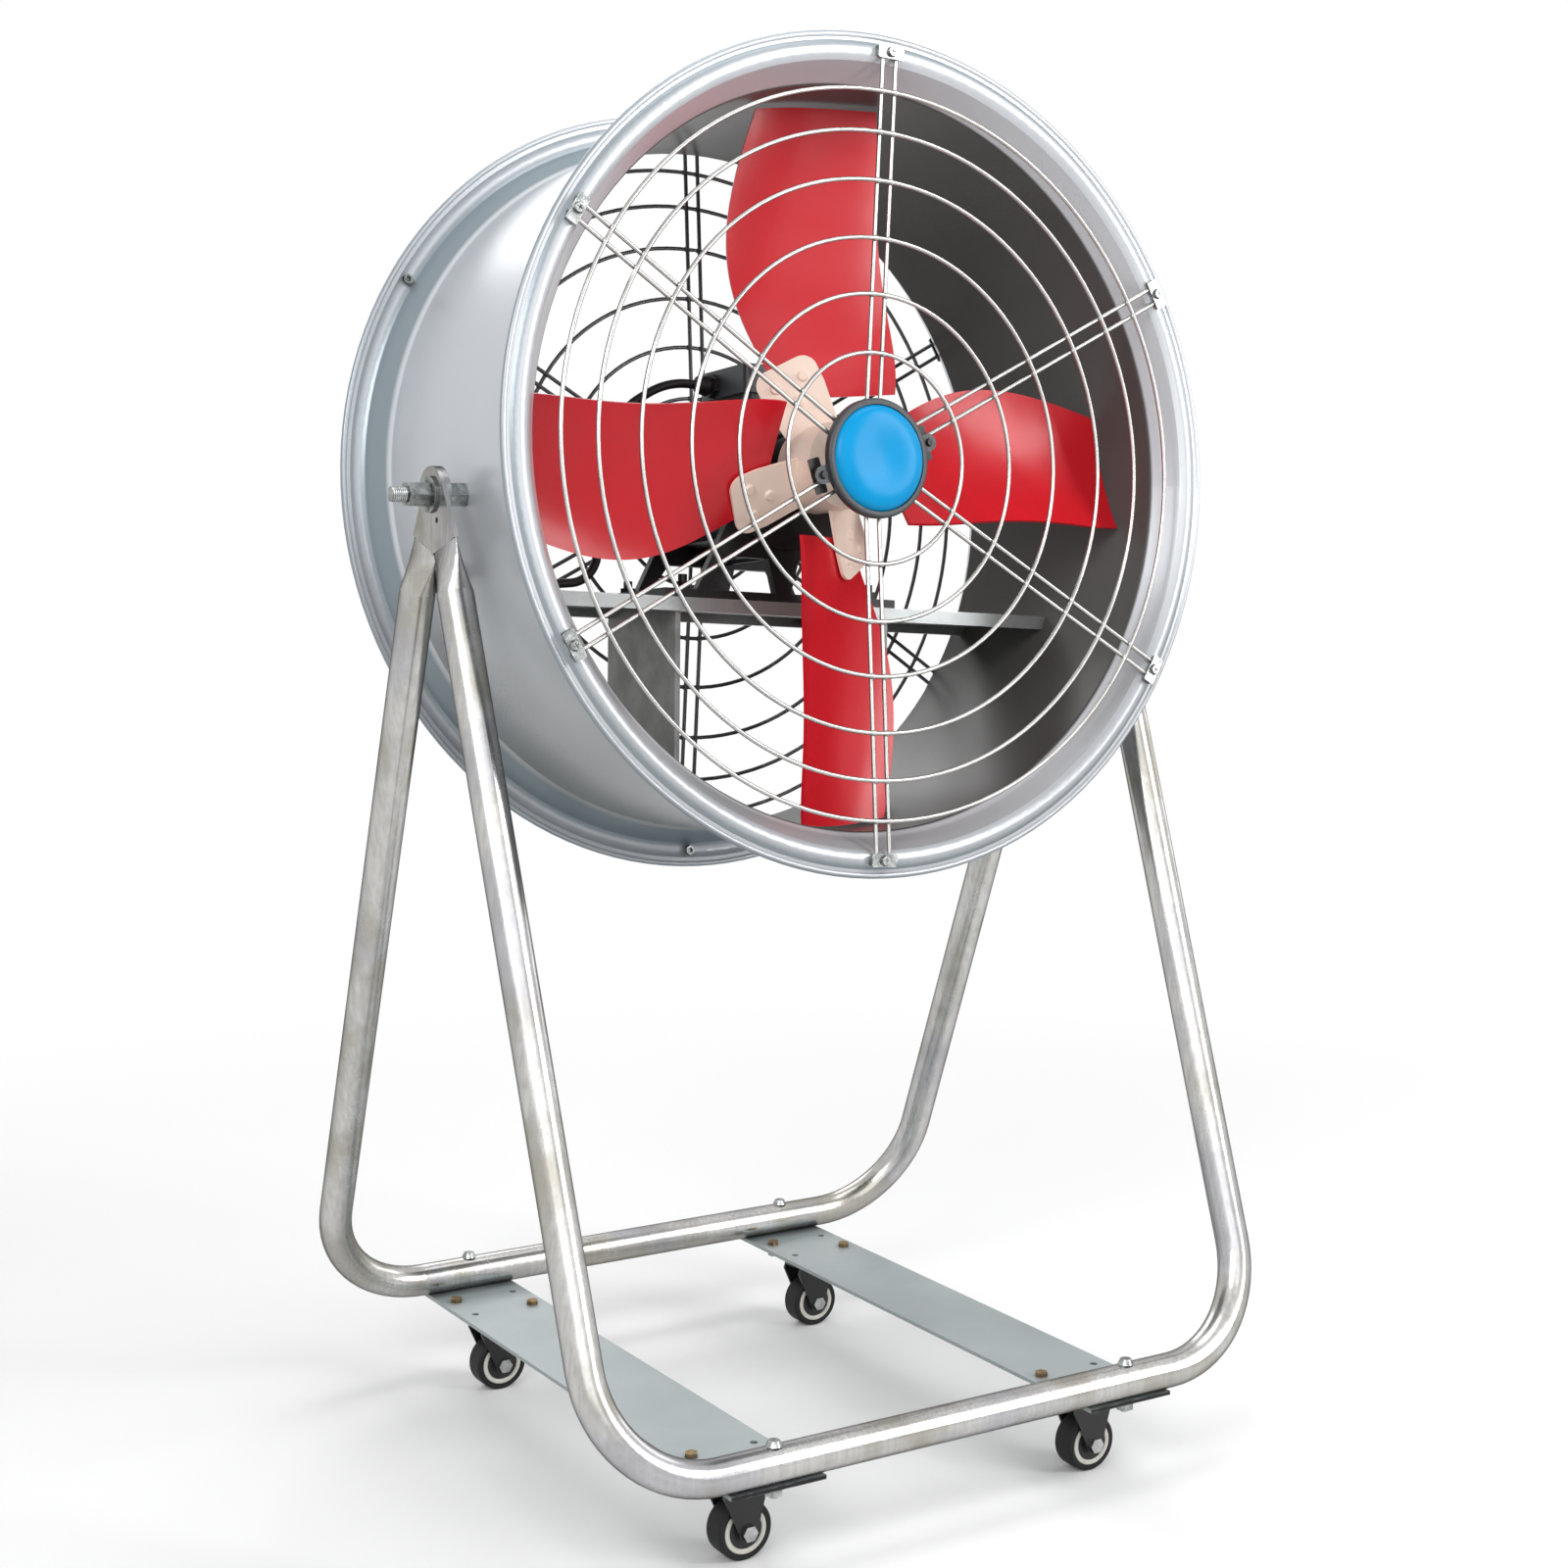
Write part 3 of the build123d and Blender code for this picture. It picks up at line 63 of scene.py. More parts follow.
def around_drum(radius, angle, ahead):
    """A point at a radius and an angle (degrees, from +X toward up) around the drum's axis."""
    turn = math.radians(angle)
    across = ACROSS * radius * math.cos(turn)
    up = UPWARD * radius * math.sin(turn)
    return DRUM_CENTRE + across + up + FORWARD * ahead


# ---------------------------------------------------------------- how a shader is written
class Tree:
    """A short way to write a shader's nodes."""

    def __init__(self, name):
        self.material = bpy.data.materials.new(name)
        self.material.use_nodes = True
        self.nodes = self.material.node_tree.nodes
        self.links = self.material.node_tree.links
        self.shader = self.nodes["Principled BSDF"]
        self.coords = self.add("ShaderNodeTexCoord").outputs["Object"]

    def add(self, kind, **settings):
        node = self.nodes.new(kind)
        for key, value in settings.items():
            setattr(node, key, value)
        return node

    def put(self, socket, value):
        """Link a socket to another node's output, or write a constant into it."""
        if isinstance(value, bpy.types.NodeSocket):
            self.links.new(value, socket)
        else:
            socket.default_value = value

    def maths(self, operation, first, second=0.0):
        node = self.add("ShaderNodeMath", operation=operation)
        self.put(node.inputs[0], first)
        self.put(node.inputs[1], second)
        return node.outputs[0]

    def vector_maths(self, operation, first, second=(0, 0, 0)):
        node = self.add("ShaderNodeVectorMath", operation=operation)
        self.put(node.inputs[0], first)
        self.put(node.inputs[1], second)
        return node.outputs["Value"] if operation in ("DOT_PRODUCT", "LENGTH") else node.outputs[0]

    def component(self, vector, name):
        node = self.add("ShaderNodeSeparateXYZ")
        self.put(node.inputs[0], vector)
        return node.outputs[name]

    def noise(self, size, detail, stretch=(1, 1, 1)):
        """Noise whose patches are about size metres wide, between 0 and 1 around a half."""
        mapping = self.add("ShaderNodeMapping")
        self.put(mapping.inputs["Vector"], self.coords)
        mapping.inputs["Scale"].default_value = stretch
        node = self.add("ShaderNodeTexNoise")
        self.put(node.inputs["Vector"], mapping.outputs[0])
        node.inputs["Scale"].default_value = 1 / size
        node.inputs["Detail"].default_value = detail
        node.inputs["Roughness"].default_value = 0.55
        return node.outputs[0]

    def remap(self, value, low, high, to_low=0.0, to_high=1.0):
        """A straight ramp: to_low where the value is low, to_high where it is high, level beyond."""
        node = self.add("ShaderNodeMapRange", clamp=True)
        self.put(node.inputs["Value"], value)
        node.inputs["From Min"].default_value = low
        node.inputs["From Max"].default_value = high
        node.inputs["To Min"].default_value = to_low
        node.inputs["To Max"].default_value = to_high
        return node.outputs[0]

    def patches(self, size, fade, shares=(0.0, 1.0), detail=6.0, stretch=(1, 1, 1)):
        """Patches about size metres wide, from one share to the other as the noise crosses fade."""
        return self.remap(self.noise(size, detail, stretch), *fade, *shares)

    def mix(self, share, first, second):
        """A blend of two colours; the node keeps its colour sockets at 6, 7 and 2."""
        node = self.add("ShaderNodeMix", data_type="RGBA")
        self.put(node.inputs[0], share)
        self.put(node.inputs[6], first)
        self.put(node.inputs[7], second)
        return node.outputs[2]

    def scaled(self, colour, factor):
        node = self.add("ShaderNodeVectorMath", operation="SCALE")
        self.put(node.inputs[0], colour)
        self.put(node.inputs["Scale"], factor)
        return node.outputs[0]

    def edges(self, width):
        """One where the surface turns sharply within width, nought on flat places."""
        bevel = self.add("ShaderNodeBevel", samples=4)
        bevel.inputs["Radius"].default_value = width
        normal = self.add("ShaderNodeNewGeometry").outputs["Normal"]
        alike = self.vector_maths("DOT_PRODUCT", bevel.outputs[0], normal)
        return self.remap(alike, 0.995, 0.90)

    def corners(self, reach):
        """Up to one in corners that are closed in within reach, nought on open places."""
        shade = self.add("ShaderNodeAmbientOcclusion", samples=6, inside=False)
        shade.inputs["Distance"].default_value = reach
        return self.remap(shade.outputs["AO"], 0.9, 0.35)

    def in_drum(self, vector, shift=True):
        """A vector turned into the drum's own directions: x across, y backward, z up."""
        if shift:
            vector = self.vector_maths("SUBTRACT", vector, tuple(DRUM_CENTRE))
        turn = self.add("ShaderNodeVectorRotate", rotation_type="X_AXIS")
        self.put(turn.inputs["Vector"], vector)
        turn.inputs["Angle"].default_value = REST_TILT
        return turn.outputs[0]

    def off_axis(self):
        """The way from the drum's axis straight out to the surface."""
        return self.vector_maths("MULTIPLY", self.in_drum(self.coords), (1, 0, 1))


def rgba(colour):
    return (*colour, 1.0)


EDGE_WIDTH = 0.0012
CORNER_REACH = 0.012
GRAIN_DEPTH = 0.0004
MATERIALS = {}


def surface(name, colour, roughness, metallic=0.0, specular=0.5, rim_light=1.0, coat=0.0,
            coat_roughness=0.08, mottle=0.06, mottle_size=0.06, uneven=0.06, grain=0.15,
            grain_size=0.0015, worn=None, worn_share=0.6, dirt_and_corner_shade=None, paint=None):
    """Make a finish: patchy tone, uneven gloss, fine grain, worn edges, dirt and painted shade in corners.

    mottle and uneven say how much the tone and the gloss vary, and grain how strong the bumps are.
    worn is the colour on rubbed edges; the corner colour and its share give dirt and painted shade.
    paint takes the tree and the colour and returns a new colour. rim_light is how light a metal
    is where it turns away from the eye.
    """
    tree = Tree(name)
    coarse = tree.noise(mottle_size, detail=5.0)
    fine = tree.noise(grain_size, detail=3.0)
    tint = tree.scaled(colour, tree.remap(coarse, 0.3, 0.7, 1 - mottle, 1 + mottle))
    both = tree.maths("ADD", coarse, fine)
    gloss = tree.remap(both, 0.7, 1.3, roughness - uneven, roughness + uneven)
    if paint:
        tint = paint(tree, tint)
    # dirt and painted shade in the corners that occlusion finds
    if dirt_and_corner_shade:
        corner_colour, corner_share = dirt_and_corner_shade
        caught = tree.maths("MULTIPLY", tree.corners(CORNER_REACH), tree.remap(coarse, 0.3, 0.6))
        dirt_and_shade = tree.maths("MULTIPLY", caught, corner_share)
        tint = tree.mix(dirt_and_shade, tint, rgba(corner_colour))
    if worn:
        rubbed = tree.patches(0.012, (0.42, 0.6), (0.15, 1.0))
        rub = tree.maths("MULTIPLY", tree.edges(EDGE_WIDTH), rubbed)
        rub = tree.maths("MULTIPLY", rub, worn_share)
        tint = tree.mix(rub, tint, rgba(worn))
    bump = tree.add("ShaderNodeBump")
    bump.inputs["Strength"].default_value = grain
    bump.inputs["Distance"].default_value = GRAIN_DEPTH
    tree.put(bump.inputs["Height"], fine)
    sockets = tree.shader.inputs
    tree.put(sockets["Base Color"], tint)
    tree.put(sockets["Roughness"], gloss)
    tree.put(sockets["Normal"], bump.outputs[0])
    sockets["Metallic"].default_value = metallic
    sockets["Coat Weight"].default_value = coat
    sockets["Coat Roughness"].default_value = coat_roughness
    sockets["Specular IOR Level"].default_value = specular
    sockets["Specular Tint"].default_value = rgba((rim_light,) * 3)
    MATERIALS[name] = tree.material


# ---------------------------------------------------------------- colour that changes over a piece
# radii from the drum's axis between which one tone gives way to the next
INNER_WALL = (0.3128, 0.3116)
RIM_FOOT = (0.3145, 0.3165)
RIM_STEP = (0.3265, 0.3285)
# painted shade: the tones below stand for shade low on the barrel and rims, on the rims' backs and inside
# the drum
SHADED_BARREL_LOW = (0.26, 0.27, 0.265)
SHADED_RIM_LOW = (0.33, 0.34, 0.355)
SHADED_RIM_RECESS = (0.20, 0.25, 0.28)
SHADED_RIM_BACK = (0.25, 0.29, 0.32)
INSIDE_SHADE_DEEP = (0.074, 0.073, 0.071)
INSIDE_SHADE_PALE = (0.120, 0.117, 0.113)
OUTSIDE_METALLIC = 0.35


def drum_tones(tree, tint):
    """Light outside, with painted shade: dark grey inside, darker below, and slate on the flared rims'
    backs.
    """
    out = tree.off_axis()
    radius = tree.vector_maths("LENGTH", out)
    outward = tree.vector_maths("NORMALIZE", out)
    normal = tree.in_drum(tree.add("ShaderNodeTexCoord").outputs["Normal"], shift=False)
    facing_out = tree.vector_maths("DOT_PRODUCT", normal, outward)
    level = tree.component(tree.in_drum(tree.coords), "Z")
    wavering = tree.patches(0.20, (0.3, 0.7), (-0.03, 0.03), detail=3.0)
    height = tree.maths("ADD", level, wavering)

    outside = tree.remap(facing_out, 0.1, 0.5)
    # painted shade: the barrel's outside turns darker toward the bottom
    low = tree.maths("MULTIPLY", outside, tree.remap(height, -0.08, -0.24, 0.0, 0.75))
    tint = tree.mix(low, tint, rgba(SHADED_BARREL_LOW))

    on_rim = tree.remap(radius, *RIM_FOOT)
    # painted shade: slate on the backs of the flared rims, darker nearer the barrel
    rim_back = tree.maths("MULTIPLY", tree.remap(facing_out, 0.15, 0.5), on_rim)
    slate = tree.mix(tree.remap(radius, *RIM_STEP), rgba(SHADED_RIM_RECESS), rgba(SHADED_RIM_BACK))
    tint = tree.mix(tree.maths("MULTIPLY", rim_back, 0.85), tint, slate)

    # painted shade on the rims' faces, low down
    rim_face = tree.maths("MULTIPLY", tree.remap(facing_out, 0.5, 0.15), on_rim)
    rim_low_shade = tree.maths("MULTIPLY", rim_face, tree.remap(height, -0.04, -0.20, 0.0, 0.6))
    tint = tree.mix(rim_low_shade, tint, rgba(SHADED_RIM_LOW))

    # painted shade inside the drum: dark greys in long streaks, darker still toward the bottom
    facing_in = tree.remap(facing_out, -0.2, -0.6)
    inside = tree.maths("MULTIPLY", facing_in, tree.remap(radius, *INNER_WALL))
    streaks = tree.patches(0.30, (0.35, 0.65), detail=3.0, stretch=(1, 0.4, 1))
    dark = tree.mix(streaks, rgba(INSIDE_SHADE_DEEP), rgba(INSIDE_SHADE_PALE))
    dark = tree.scaled(dark, tree.remap(height, -0.08, -0.26, 1.0, 0.62))
    metallic = tree.remap(inside, 0.0, 1.0, OUTSIDE_METALLIC, 0.0)
    tree.put(tree.shader.inputs["Metallic"], metallic)
    return tree.mix(inside, tint, dark)


# how far from the middle, forward or back, the plates' sawn ends begin
SAWN_END = (0.2861, 0.2867)
PLATE_BLOOM = (0.40, 0.43, 0.44)
SHADED_END = (0.012, 0.012, 0.013)


def bloom_and_shaded_ends(tree, tint):
    """A pale bloom on the base plates' zinc, and near-black painted shade on their sawn ends."""
    ahead = tree.maths("ABSOLUTE", tree.component(tree.coords, "Y"))
    tint = tree.mix(tree.patches(0.05, (0.45, 0.62), (0.0, 0.35)), tint, rgba(PLATE_BLOOM))
    # painted shade: the sawn ends and a thin strip of the tops beside them turn near black
    return tree.mix(tree.remap(ahead, *SAWN_END), tint, rgba(SHADED_END))


OLIVE_FILM = (0.36, 0.34, 0.29)
LILAC_FILM = (0.40, 0.40, 0.45)


def tube_patina(tree, tint):
    """Zinc-plated tube: drawing lines along the legs, olive and lilac patches from the passivation."""
    lines = tree.patches(0.0035, (0.35, 0.65), (0.90, 1.08), detail=2.0, stretch=(1, 1, 0.03))
    olive = tree.patches(0.07, (0.47, 0.60), (0.0, 0.7), detail=5.0)
    lilac = tree.patches(0.11, (0.50, 0.62), (0.0, 0.5), detail=4.0, stretch=(1.3, 1.3, 1.3))
    tint = tree.mix(olive, tree.scaled(tint, lines), rgba(OLIVE_FILM))
    return tree.mix(lilac, tint, rgba(LILAC_FILM))


def patina(dull, share, size):
    """A finish that has gone dull in patches about size metres wide."""
    def paint(tree, tint):
        return tree.mix(tree.patches(size, (0.42, 0.60), (0.0, share)), tint, rgba(dull))
    return paint


def spangle(tree, tint):
    """Faint crystals of hot-dip zinc."""
    cells = tree.add("ShaderNodeTexVoronoi")
    tree.put(cells.inputs["Vector"], tree.coords)
    cells.inputs["Scale"].default_value = 90
    return tree.scaled(tint, tree.remap(cells.outputs["Color"], 0.0, 1.0, 0.93, 1.05))


# how far behind the drum's centre the blades' front and rear edges stand
BLADE_DEPTH = (-0.105, -0.04)


def blade_depth_shade(tree, tint):
    """Painted shade: the red is a little lighter at the blades' front edges, darker toward the rear ones.
    """
    back = tree.component(tree.in_drum(tree.coords), "Y")
    return tree.scaled(tint, tree.remap(back, *BLADE_DEPTH, 1.05, 0.90))


# painted highlight: between these radii the petals' peach gives way to pink
PETAL_RADII = (0.060, 0.125)
PETAL_HIGHLIGHT_EDGE = (0.93, 0.55, 0.46)


def petal_painted_highlight(tree, tint):
    """Painted highlight on the petals: their pale peach turns pink in patches toward the outside."""
    outer = tree.remap(tree.vector_maths("LENGTH", tree.off_axis()), *PETAL_RADII, 0.0, 0.35)
    pink_patches = tree.patches(0.018, (0.40, 0.62), detail=5.0)
    return tree.mix(tree.maths("MULTIPLY", outer, pink_patches), tint, rgba(PETAL_HIGHLIGHT_EDGE))


# ---------------------------------------------------------------- materials
# the corner colours in the finishes below give dirt and painted shade in the corners
STEEL_EDGE = (0.72, 0.73, 0.74)
DUST = (0.30, 0.28, 0.25)
# painted shade: near black for the zinc trim's corners
CORNER_SHADE_BLACK = (0.02, 0.02, 0.02)

# the drum and its guards
surface("drum_enamel", (0.60, 0.625, 0.655), roughness=0.30, specular=0.10, mottle=0.03,
        mottle_size=0.25, uneven=0.03, grain=0.03, grain_size=0.0012, paint=drum_tones)
surface("guard_wire", (0.45, 0.445, 0.43), roughness=0.30, metallic=1.0, rim_light=0.35,
        mottle=0.10, mottle_size=0.03, grain=0.2, grain_size=0.001)
# painted shade: the rear guard's wire is a darker copy of the front guard's
surface("shaded_rear_wire", (0.13, 0.13, 0.135), roughness=0.38, metallic=0.9, rim_light=0.4,
        mottle=0.15, mottle_size=0.03, grain=0.2, grain_size=0.001)
surface("zinc_trim", (0.46, 0.475, 0.47), roughness=0.26, metallic=1.0, rim_light=0.4,
        mottle=0.2, mottle_size=0.006, worn=STEEL_EDGE, dirt_and_corner_shade=(CORNER_SHADE_BLACK, 0.95),
        paint=patina((0.16, 0.19, 0.18), 0.7, 0.008))
surface("bezel_plastic", (0.036, 0.041, 0.047), roughness=0.42, mottle=0.12,
        worn=(0.16, 0.17, 0.18), worn_share=0.4)
surface("badge_face", (0.001, 0.31, 0.66), roughness=0.30, specular=0.16, mottle=0.04,
        mottle_size=0.02, uneven=0.03, grain=0.02)
surface("black_steel", (0.014, 0.014, 0.015), roughness=0.42, metallic=0.3, mottle=0.2,
        worn=(0.2, 0.2, 0.21), worn_share=0.4)

# the rotor
surface("blade_red", (0.68, 0.010, 0.020), roughness=0.30, specular=0.30, coat=0.22,
        coat_roughness=0.20, mottle=0.04, mottle_size=0.09, uneven=0.03, grain=0.03,
        grain_size=0.0012, paint=blade_depth_shade)
# painted highlight: the pale peach stands for glare on the petals' red paint
surface("hub_cast", (1.0, 0.81, 0.69), roughness=0.42, mottle=0.03, mottle_size=0.02,
        grain=0.30, grain_size=0.002, worn=(0.97, 0.88, 0.80), paint=petal_painted_highlight)
surface("bright_steel", (0.52, 0.52, 0.53), roughness=0.20, metallic=1.0, rim_light=0.4,
        mottle=0.10, mottle_size=0.008, grain=0.08, dirt_and_corner_shade=((0.03, 0.03, 0.03), 0.8),
        paint=patina((0.24, 0.23, 0.22), 0.5, 0.01))

# the motor
surface("core_steel", (0.30, 0.30, 0.31), roughness=0.45, metallic=1.0, grain=0.4)
surface("winding", (0.42, 0.13, 0.04), roughness=0.35, metallic=0.7, grain=0.6,
        grain_size=0.002)
surface("motor_black", (0.012, 0.013, 0.014), roughness=0.42, metallic=0.1, mottle=0.2,
        mottle_size=0.03, grain=0.5, grain_size=0.0012, worn=(0.10, 0.10, 0.11),
        worn_share=0.4, dirt_and_corner_shade=(DUST, 0.08))
surface("terminal_grey", (0.055, 0.070, 0.080), roughness=0.40, mottle=0.12, grain=0.35,
        worn=(0.22, 0.24, 0.25), worn_share=0.4)
surface("gland_plastic", (0.012, 0.012, 0.013), roughness=0.5, mottle=0.15)
surface("cord_rubber", (0.010, 0.010, 0.011), roughness=0.5, mottle=0.15, grain=0.3)
surface("seat_steel", (0.38, 0.40, 0.40), roughness=0.34, metallic=0.5, worn=STEEL_EDGE,
        dirt_and_corner_shade=((0.07, 0.07, 0.07), 0.7), paint=spangle)
surface("seat_grey", (0.36, 0.365, 0.355), roughness=0.45, metallic=0.2, specular=0.3,
        mottle=0.08, mottle_size=0.05, worn=(0.5, 0.5, 0.5),
        dirt_and_corner_shade=((0.06, 0.06, 0.06), 0.6), paint=patina((0.16, 0.155, 0.14), 0.5, 0.03))

# the stand
surface("tube_zinc", (0.52, 0.515, 0.50), roughness=0.24, metallic=1.0, rim_light=0.22,
        mottle=0.05, mottle_size=0.05, uneven=0.05, grain=0.05, grain_size=0.002,
        paint=tube_patina)
surface("plate_zinc", (0.33, 0.375, 0.385), roughness=0.36, metallic=0.25, specular=0.3,
        mottle=0.05, mottle_size=0.09, grain=0.10, worn=(0.5, 0.52, 0.53),
        worn_share=0.5, dirt_and_corner_shade=((0.08, 0.08, 0.08), 0.7), paint=bloom_and_shaded_ends)
surface("yellow_zinc", (0.34, 0.25, 0.14), roughness=0.32, metallic=0.9, rim_light=0.4,
        mottle=0.3, mottle_size=0.005, worn=(0.55, 0.50, 0.42),
        dirt_and_corner_shade=((0.03, 0.015, 0.01), 0.9), paint=patina((0.12, 0.06, 0.03), 0.7, 0.006))

# the casters
surface("caster_black", (0.010, 0.010, 0.011), roughness=0.36, metallic=0.2, coat=0.15,
        mottle=0.15, worn=(0.15, 0.15, 0.16), worn_share=0.3)
surface("tyre_rubber", (0.011, 0.011, 0.012), roughness=0.60, specular=0.3, mottle=0.25,
        mottle_size=0.02, grain=0.5, grain_size=0.001, worn=(0.05, 0.05, 0.05))
surface("wheel_nylon", (0.010, 0.010, 0.011), roughness=0.45, mottle=0.15, grain=0.25)
surface("nylon_white", (0.70, 0.69, 0.62), roughness=0.42, mottle_size=0.01,
        worn=(0.50, 0.48, 0.44), worn_share=0.5, dirt_and_corner_shade=((0.25, 0.24, 0.20), 0.6))

for part in frame["record"]["subparts"]:
    node_materials = nodes[part["node"]].data.materials
    node_materials.clear()
    node_materials.append(MATERIALS[part["material_slot"]])
# the rear guard takes the darker, shaded copy of the wire finish
nodes["rear_guard"].data.materials[0] = MATERIALS["shaded_rear_wire"]
# the rivets take the petals' finish, painted highlight and all
nodes["blade_rivets"].data.materials[0] = MATERIALS["hub_cast"]


# ---------------------------------------------------------------- small pieces that the solids leave plain
def join_rings(maker, rings):
    """Close a row of rings of corners into a skin, the last ring meeting the first."""
    for first, second in zip(rings, rings[1:] + rings[:1]):
        for here in range(len(first)):
            beside = (here + 1) % len(first)
            maker.faces.new((first[here], second[here], second[beside], first[beside]))


def lathe(maker, centre, axis, outline, sides=64):
    """Turn a closed outline of (radius, height) around an axis through centre."""
    axis = Vector(axis).normalized()
    side = axis.orthogonal().normalized()
    other = axis.cross(side)
    rings = []
    for step in range(sides):
        turn = FULL_TURN * step / sides
        out = side * math.cos(turn) + other * math.sin(turn)
        rings.append([maker.verts.new(Vector(centre) + out * radius + axis * height)
                      for radius, height in outline])
    join_rings(maker, rings)


def add_piece(name, maker, material, body):
    """Finish the maker's mesh as a piece that rides on a body and takes the named slot's finish."""
    bmesh.ops.recalc_face_normals(maker, faces=maker.faces)
    mesh = bpy.data.meshes.new(name)
    maker.to_mesh(mesh)
    maker.free()
    mesh.materials.append(MATERIALS[material])
    for polygon in mesh.polygons:
        polygon.use_smooth = True
    piece = bpy.data.objects.new(name, mesh)
    bpy.context.scene.collection.objects.link(piece)
    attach(piece, body)


def wheel_rings():
    """The pale nylon ring that shows on both faces of each wheel."""
    # radius from the axle, and height over the tyre's face
    profile = ((0.0148, -0.0011), (0.0152, -0.0002), (0.0160, 0.0001),
               (0.0185, 0.0001), (0.0193, -0.0002), (0.0197, -0.0011))
    for caster in CASTERS:
        low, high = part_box(f"wheel_core_{caster}")
        tyre_low, tyre_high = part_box(f"tyre_{caster}")
        centre = (low + high) / 2
        half_width = (tyre_high.y - tyre_low.y) / 2
        maker = bmesh.new()
        for side in (-1, 1):
            outline = [(radius, side * (half_width + height)) for radius, height in profile]
            lathe(maker, centre, (0, 1, 0), outline)
        add_piece(f"wheel_ring_{caster}", maker, "nylon_white", f"wheel_body_{caster}")


def weld_nuggets():
    """Small squeezed lumps where the guard's rings are spot-welded to its spokes."""
    wire_radius, dish_depth = 0.0018, 0.020
    outer_ring, centre_ring = 0.3345, 0.034
    ring_radii = [outer_ring * share for share in (0.263, 0.407, 0.544, 0.685, 0.803, 0.903)]
    first_spoke, spoke_pairs, half_pair = 86.6, 6, 0.0065
    lump_size = (0.0031, 0.0022, 0.0026, 1.0)
    guards = (("front_guard", 1, 0.1535, "guard_wire"), ("rear_guard", -1, 0.1695, "shaded_rear_wire"))
    places = [(radius, offset, pair) for pair in range(spoke_pairs)
              for offset in (-half_pair, half_pair) for radius in ring_radii]
    for node, side, reach, material in guards:
        maker = bmesh.new()
        for radius, offset, pair in places:
            spoke = first_spoke + 360 / spoke_pairs * pair
            angle = spoke + math.degrees(math.asin(offset / radius))
            inward = (outer_ring - radius) / (outer_ring - centre_ring)
            ahead = side * (reach - dish_depth * inward + 2.5 * wire_radius)
            turn = math.radians(angle)
            along_ring = ACROSS * -math.sin(turn) + UPWARD * math.cos(turn)
            axes = Matrix((along_ring, FORWARD, along_ring.cross(FORWARD))).transposed()
            place = Matrix.Translation(around_drum(radius, angle, ahead)) @ axes.to_4x4()
            lump = bmesh.ops.create_icosphere(maker, subdivisions=2, radius=1.0)["verts"]
            bmesh.ops.transform(maker, matrix=place @ Matrix.Diagonal(lump_size), verts=lump)
        add_piece(f"{node}_welds", maker, material, "drum")


def bolt_threads():
    """The rolled thread on the free ends of the pivot bolts."""
    # radii of the thread's root and crest and of the core under them, and the thread's pitch
    root, crest, core, pitch = 0.00603, 0.00645, 0.0058, 0.00175
    # how steeply a crest falls off to the root
    flank = 2.4
    sides, steps = 48, 64
    inner_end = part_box("pivot_nuts")[1].x + 0.0001
    outer_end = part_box("pivot_bolts")[1].x - 0.0002

    def thread_radius(along, turned):
        """The thread's radius at a distance along the bolt and a share of a turn around it."""
        phase = (along / pitch - turned) % 1.0
        return root + (crest - root) * max(0.0, 1.0 - abs(phase - 0.5) * flank)

    # the skin goes out along the thread and comes back along the smooth core underneath
    lengths = [inner_end + (outer_end - inner_end) * step / steps for step in range(steps + 1)]
    course = [(along, False) for along in lengths] + [(outer_end, True), (inner_end, True)]
    for name, side in (("left", -1), ("right", 1)):
        maker = bmesh.new()
        rings = []
        for along, on_core in course:
            ring = []
            for turned in (step / sides for step in range(sides)):
                radius = core if on_core else thread_radius(along, turned)
                angle = side * FULL_TURN * turned
                ring.append(maker.verts.new((side * along, radius * math.cos(angle),
                                             PIVOT.z + radius * math.sin(angle))))
            rings.append(ring)
        join_rings(maker, rings)
        add_piece(f"pivot_thread_{name}", maker, "zinc_trim", "stand")


wheel_rings()
weld_nuggets()
bolt_threads()


# ---------------------------------------------------------------- studio
def area_light(name, place, target, size, power):
    """A rectangular soft lamp at a place, turned toward a target."""
    light = bpy.data.lights.new(name, "AREA")
    light.shape = "RECTANGLE"
    light.size, light.size_y = size
    light.energy = power
    lamp = bpy.data.objects.new(name, light)
    bpy.context.scene.collection.objects.link(lamp)
    lamp.location = place
    lamp.rotation_euler = (Vector(target) - Vector(place)).to_track_quat("-Z", "Y").to_euler()


MIDDLE = (0, 0, 0.75)
area_light("key", (-2.9, -2.0, 2.6), MIDDLE, size=(1.6, 1.6), power=66)
area_light("front_strip", (1.9, -2.3, 2.0), (0.1, 0, 0.9), size=(0.8, 2.1), power=48)
area_light("front_fill", (-1.2, -3.4, 1.7), (0, 0, 0.9), size=(3.0, 2.4), power=26)
area_light("overhead", (0.3, 0.0, 3.4), MIDDLE, size=(1.6, 1.6), power=24)
area_light("right", (3.0, 0.2, 1.5), MIDDLE, size=(1.0, 1.8), power=14)
area_light("rear", (0.6, 3.2, 2.6), MIDDLE, size=(2.0, 1.6), power=35)


def seen_directly(node_tree):
    """One for camera, glossy and transmitted rays, nought for the rest."""
    path = node_tree.nodes.new("ShaderNodeLightPath")
    total = path.outputs["Is Camera Ray"]
    for other in ("Is Glossy Ray", "Is Transmission Ray"):
        join = node_tree.nodes.new("ShaderNodeMath")
        join.operation = "MAXIMUM"
        node_tree.links.new(total, join.inputs[0])
        node_tree.links.new(path.outputs[other], join.inputs[1])
        total = join.outputs[0]
    return total


AMBIENT = 0.36


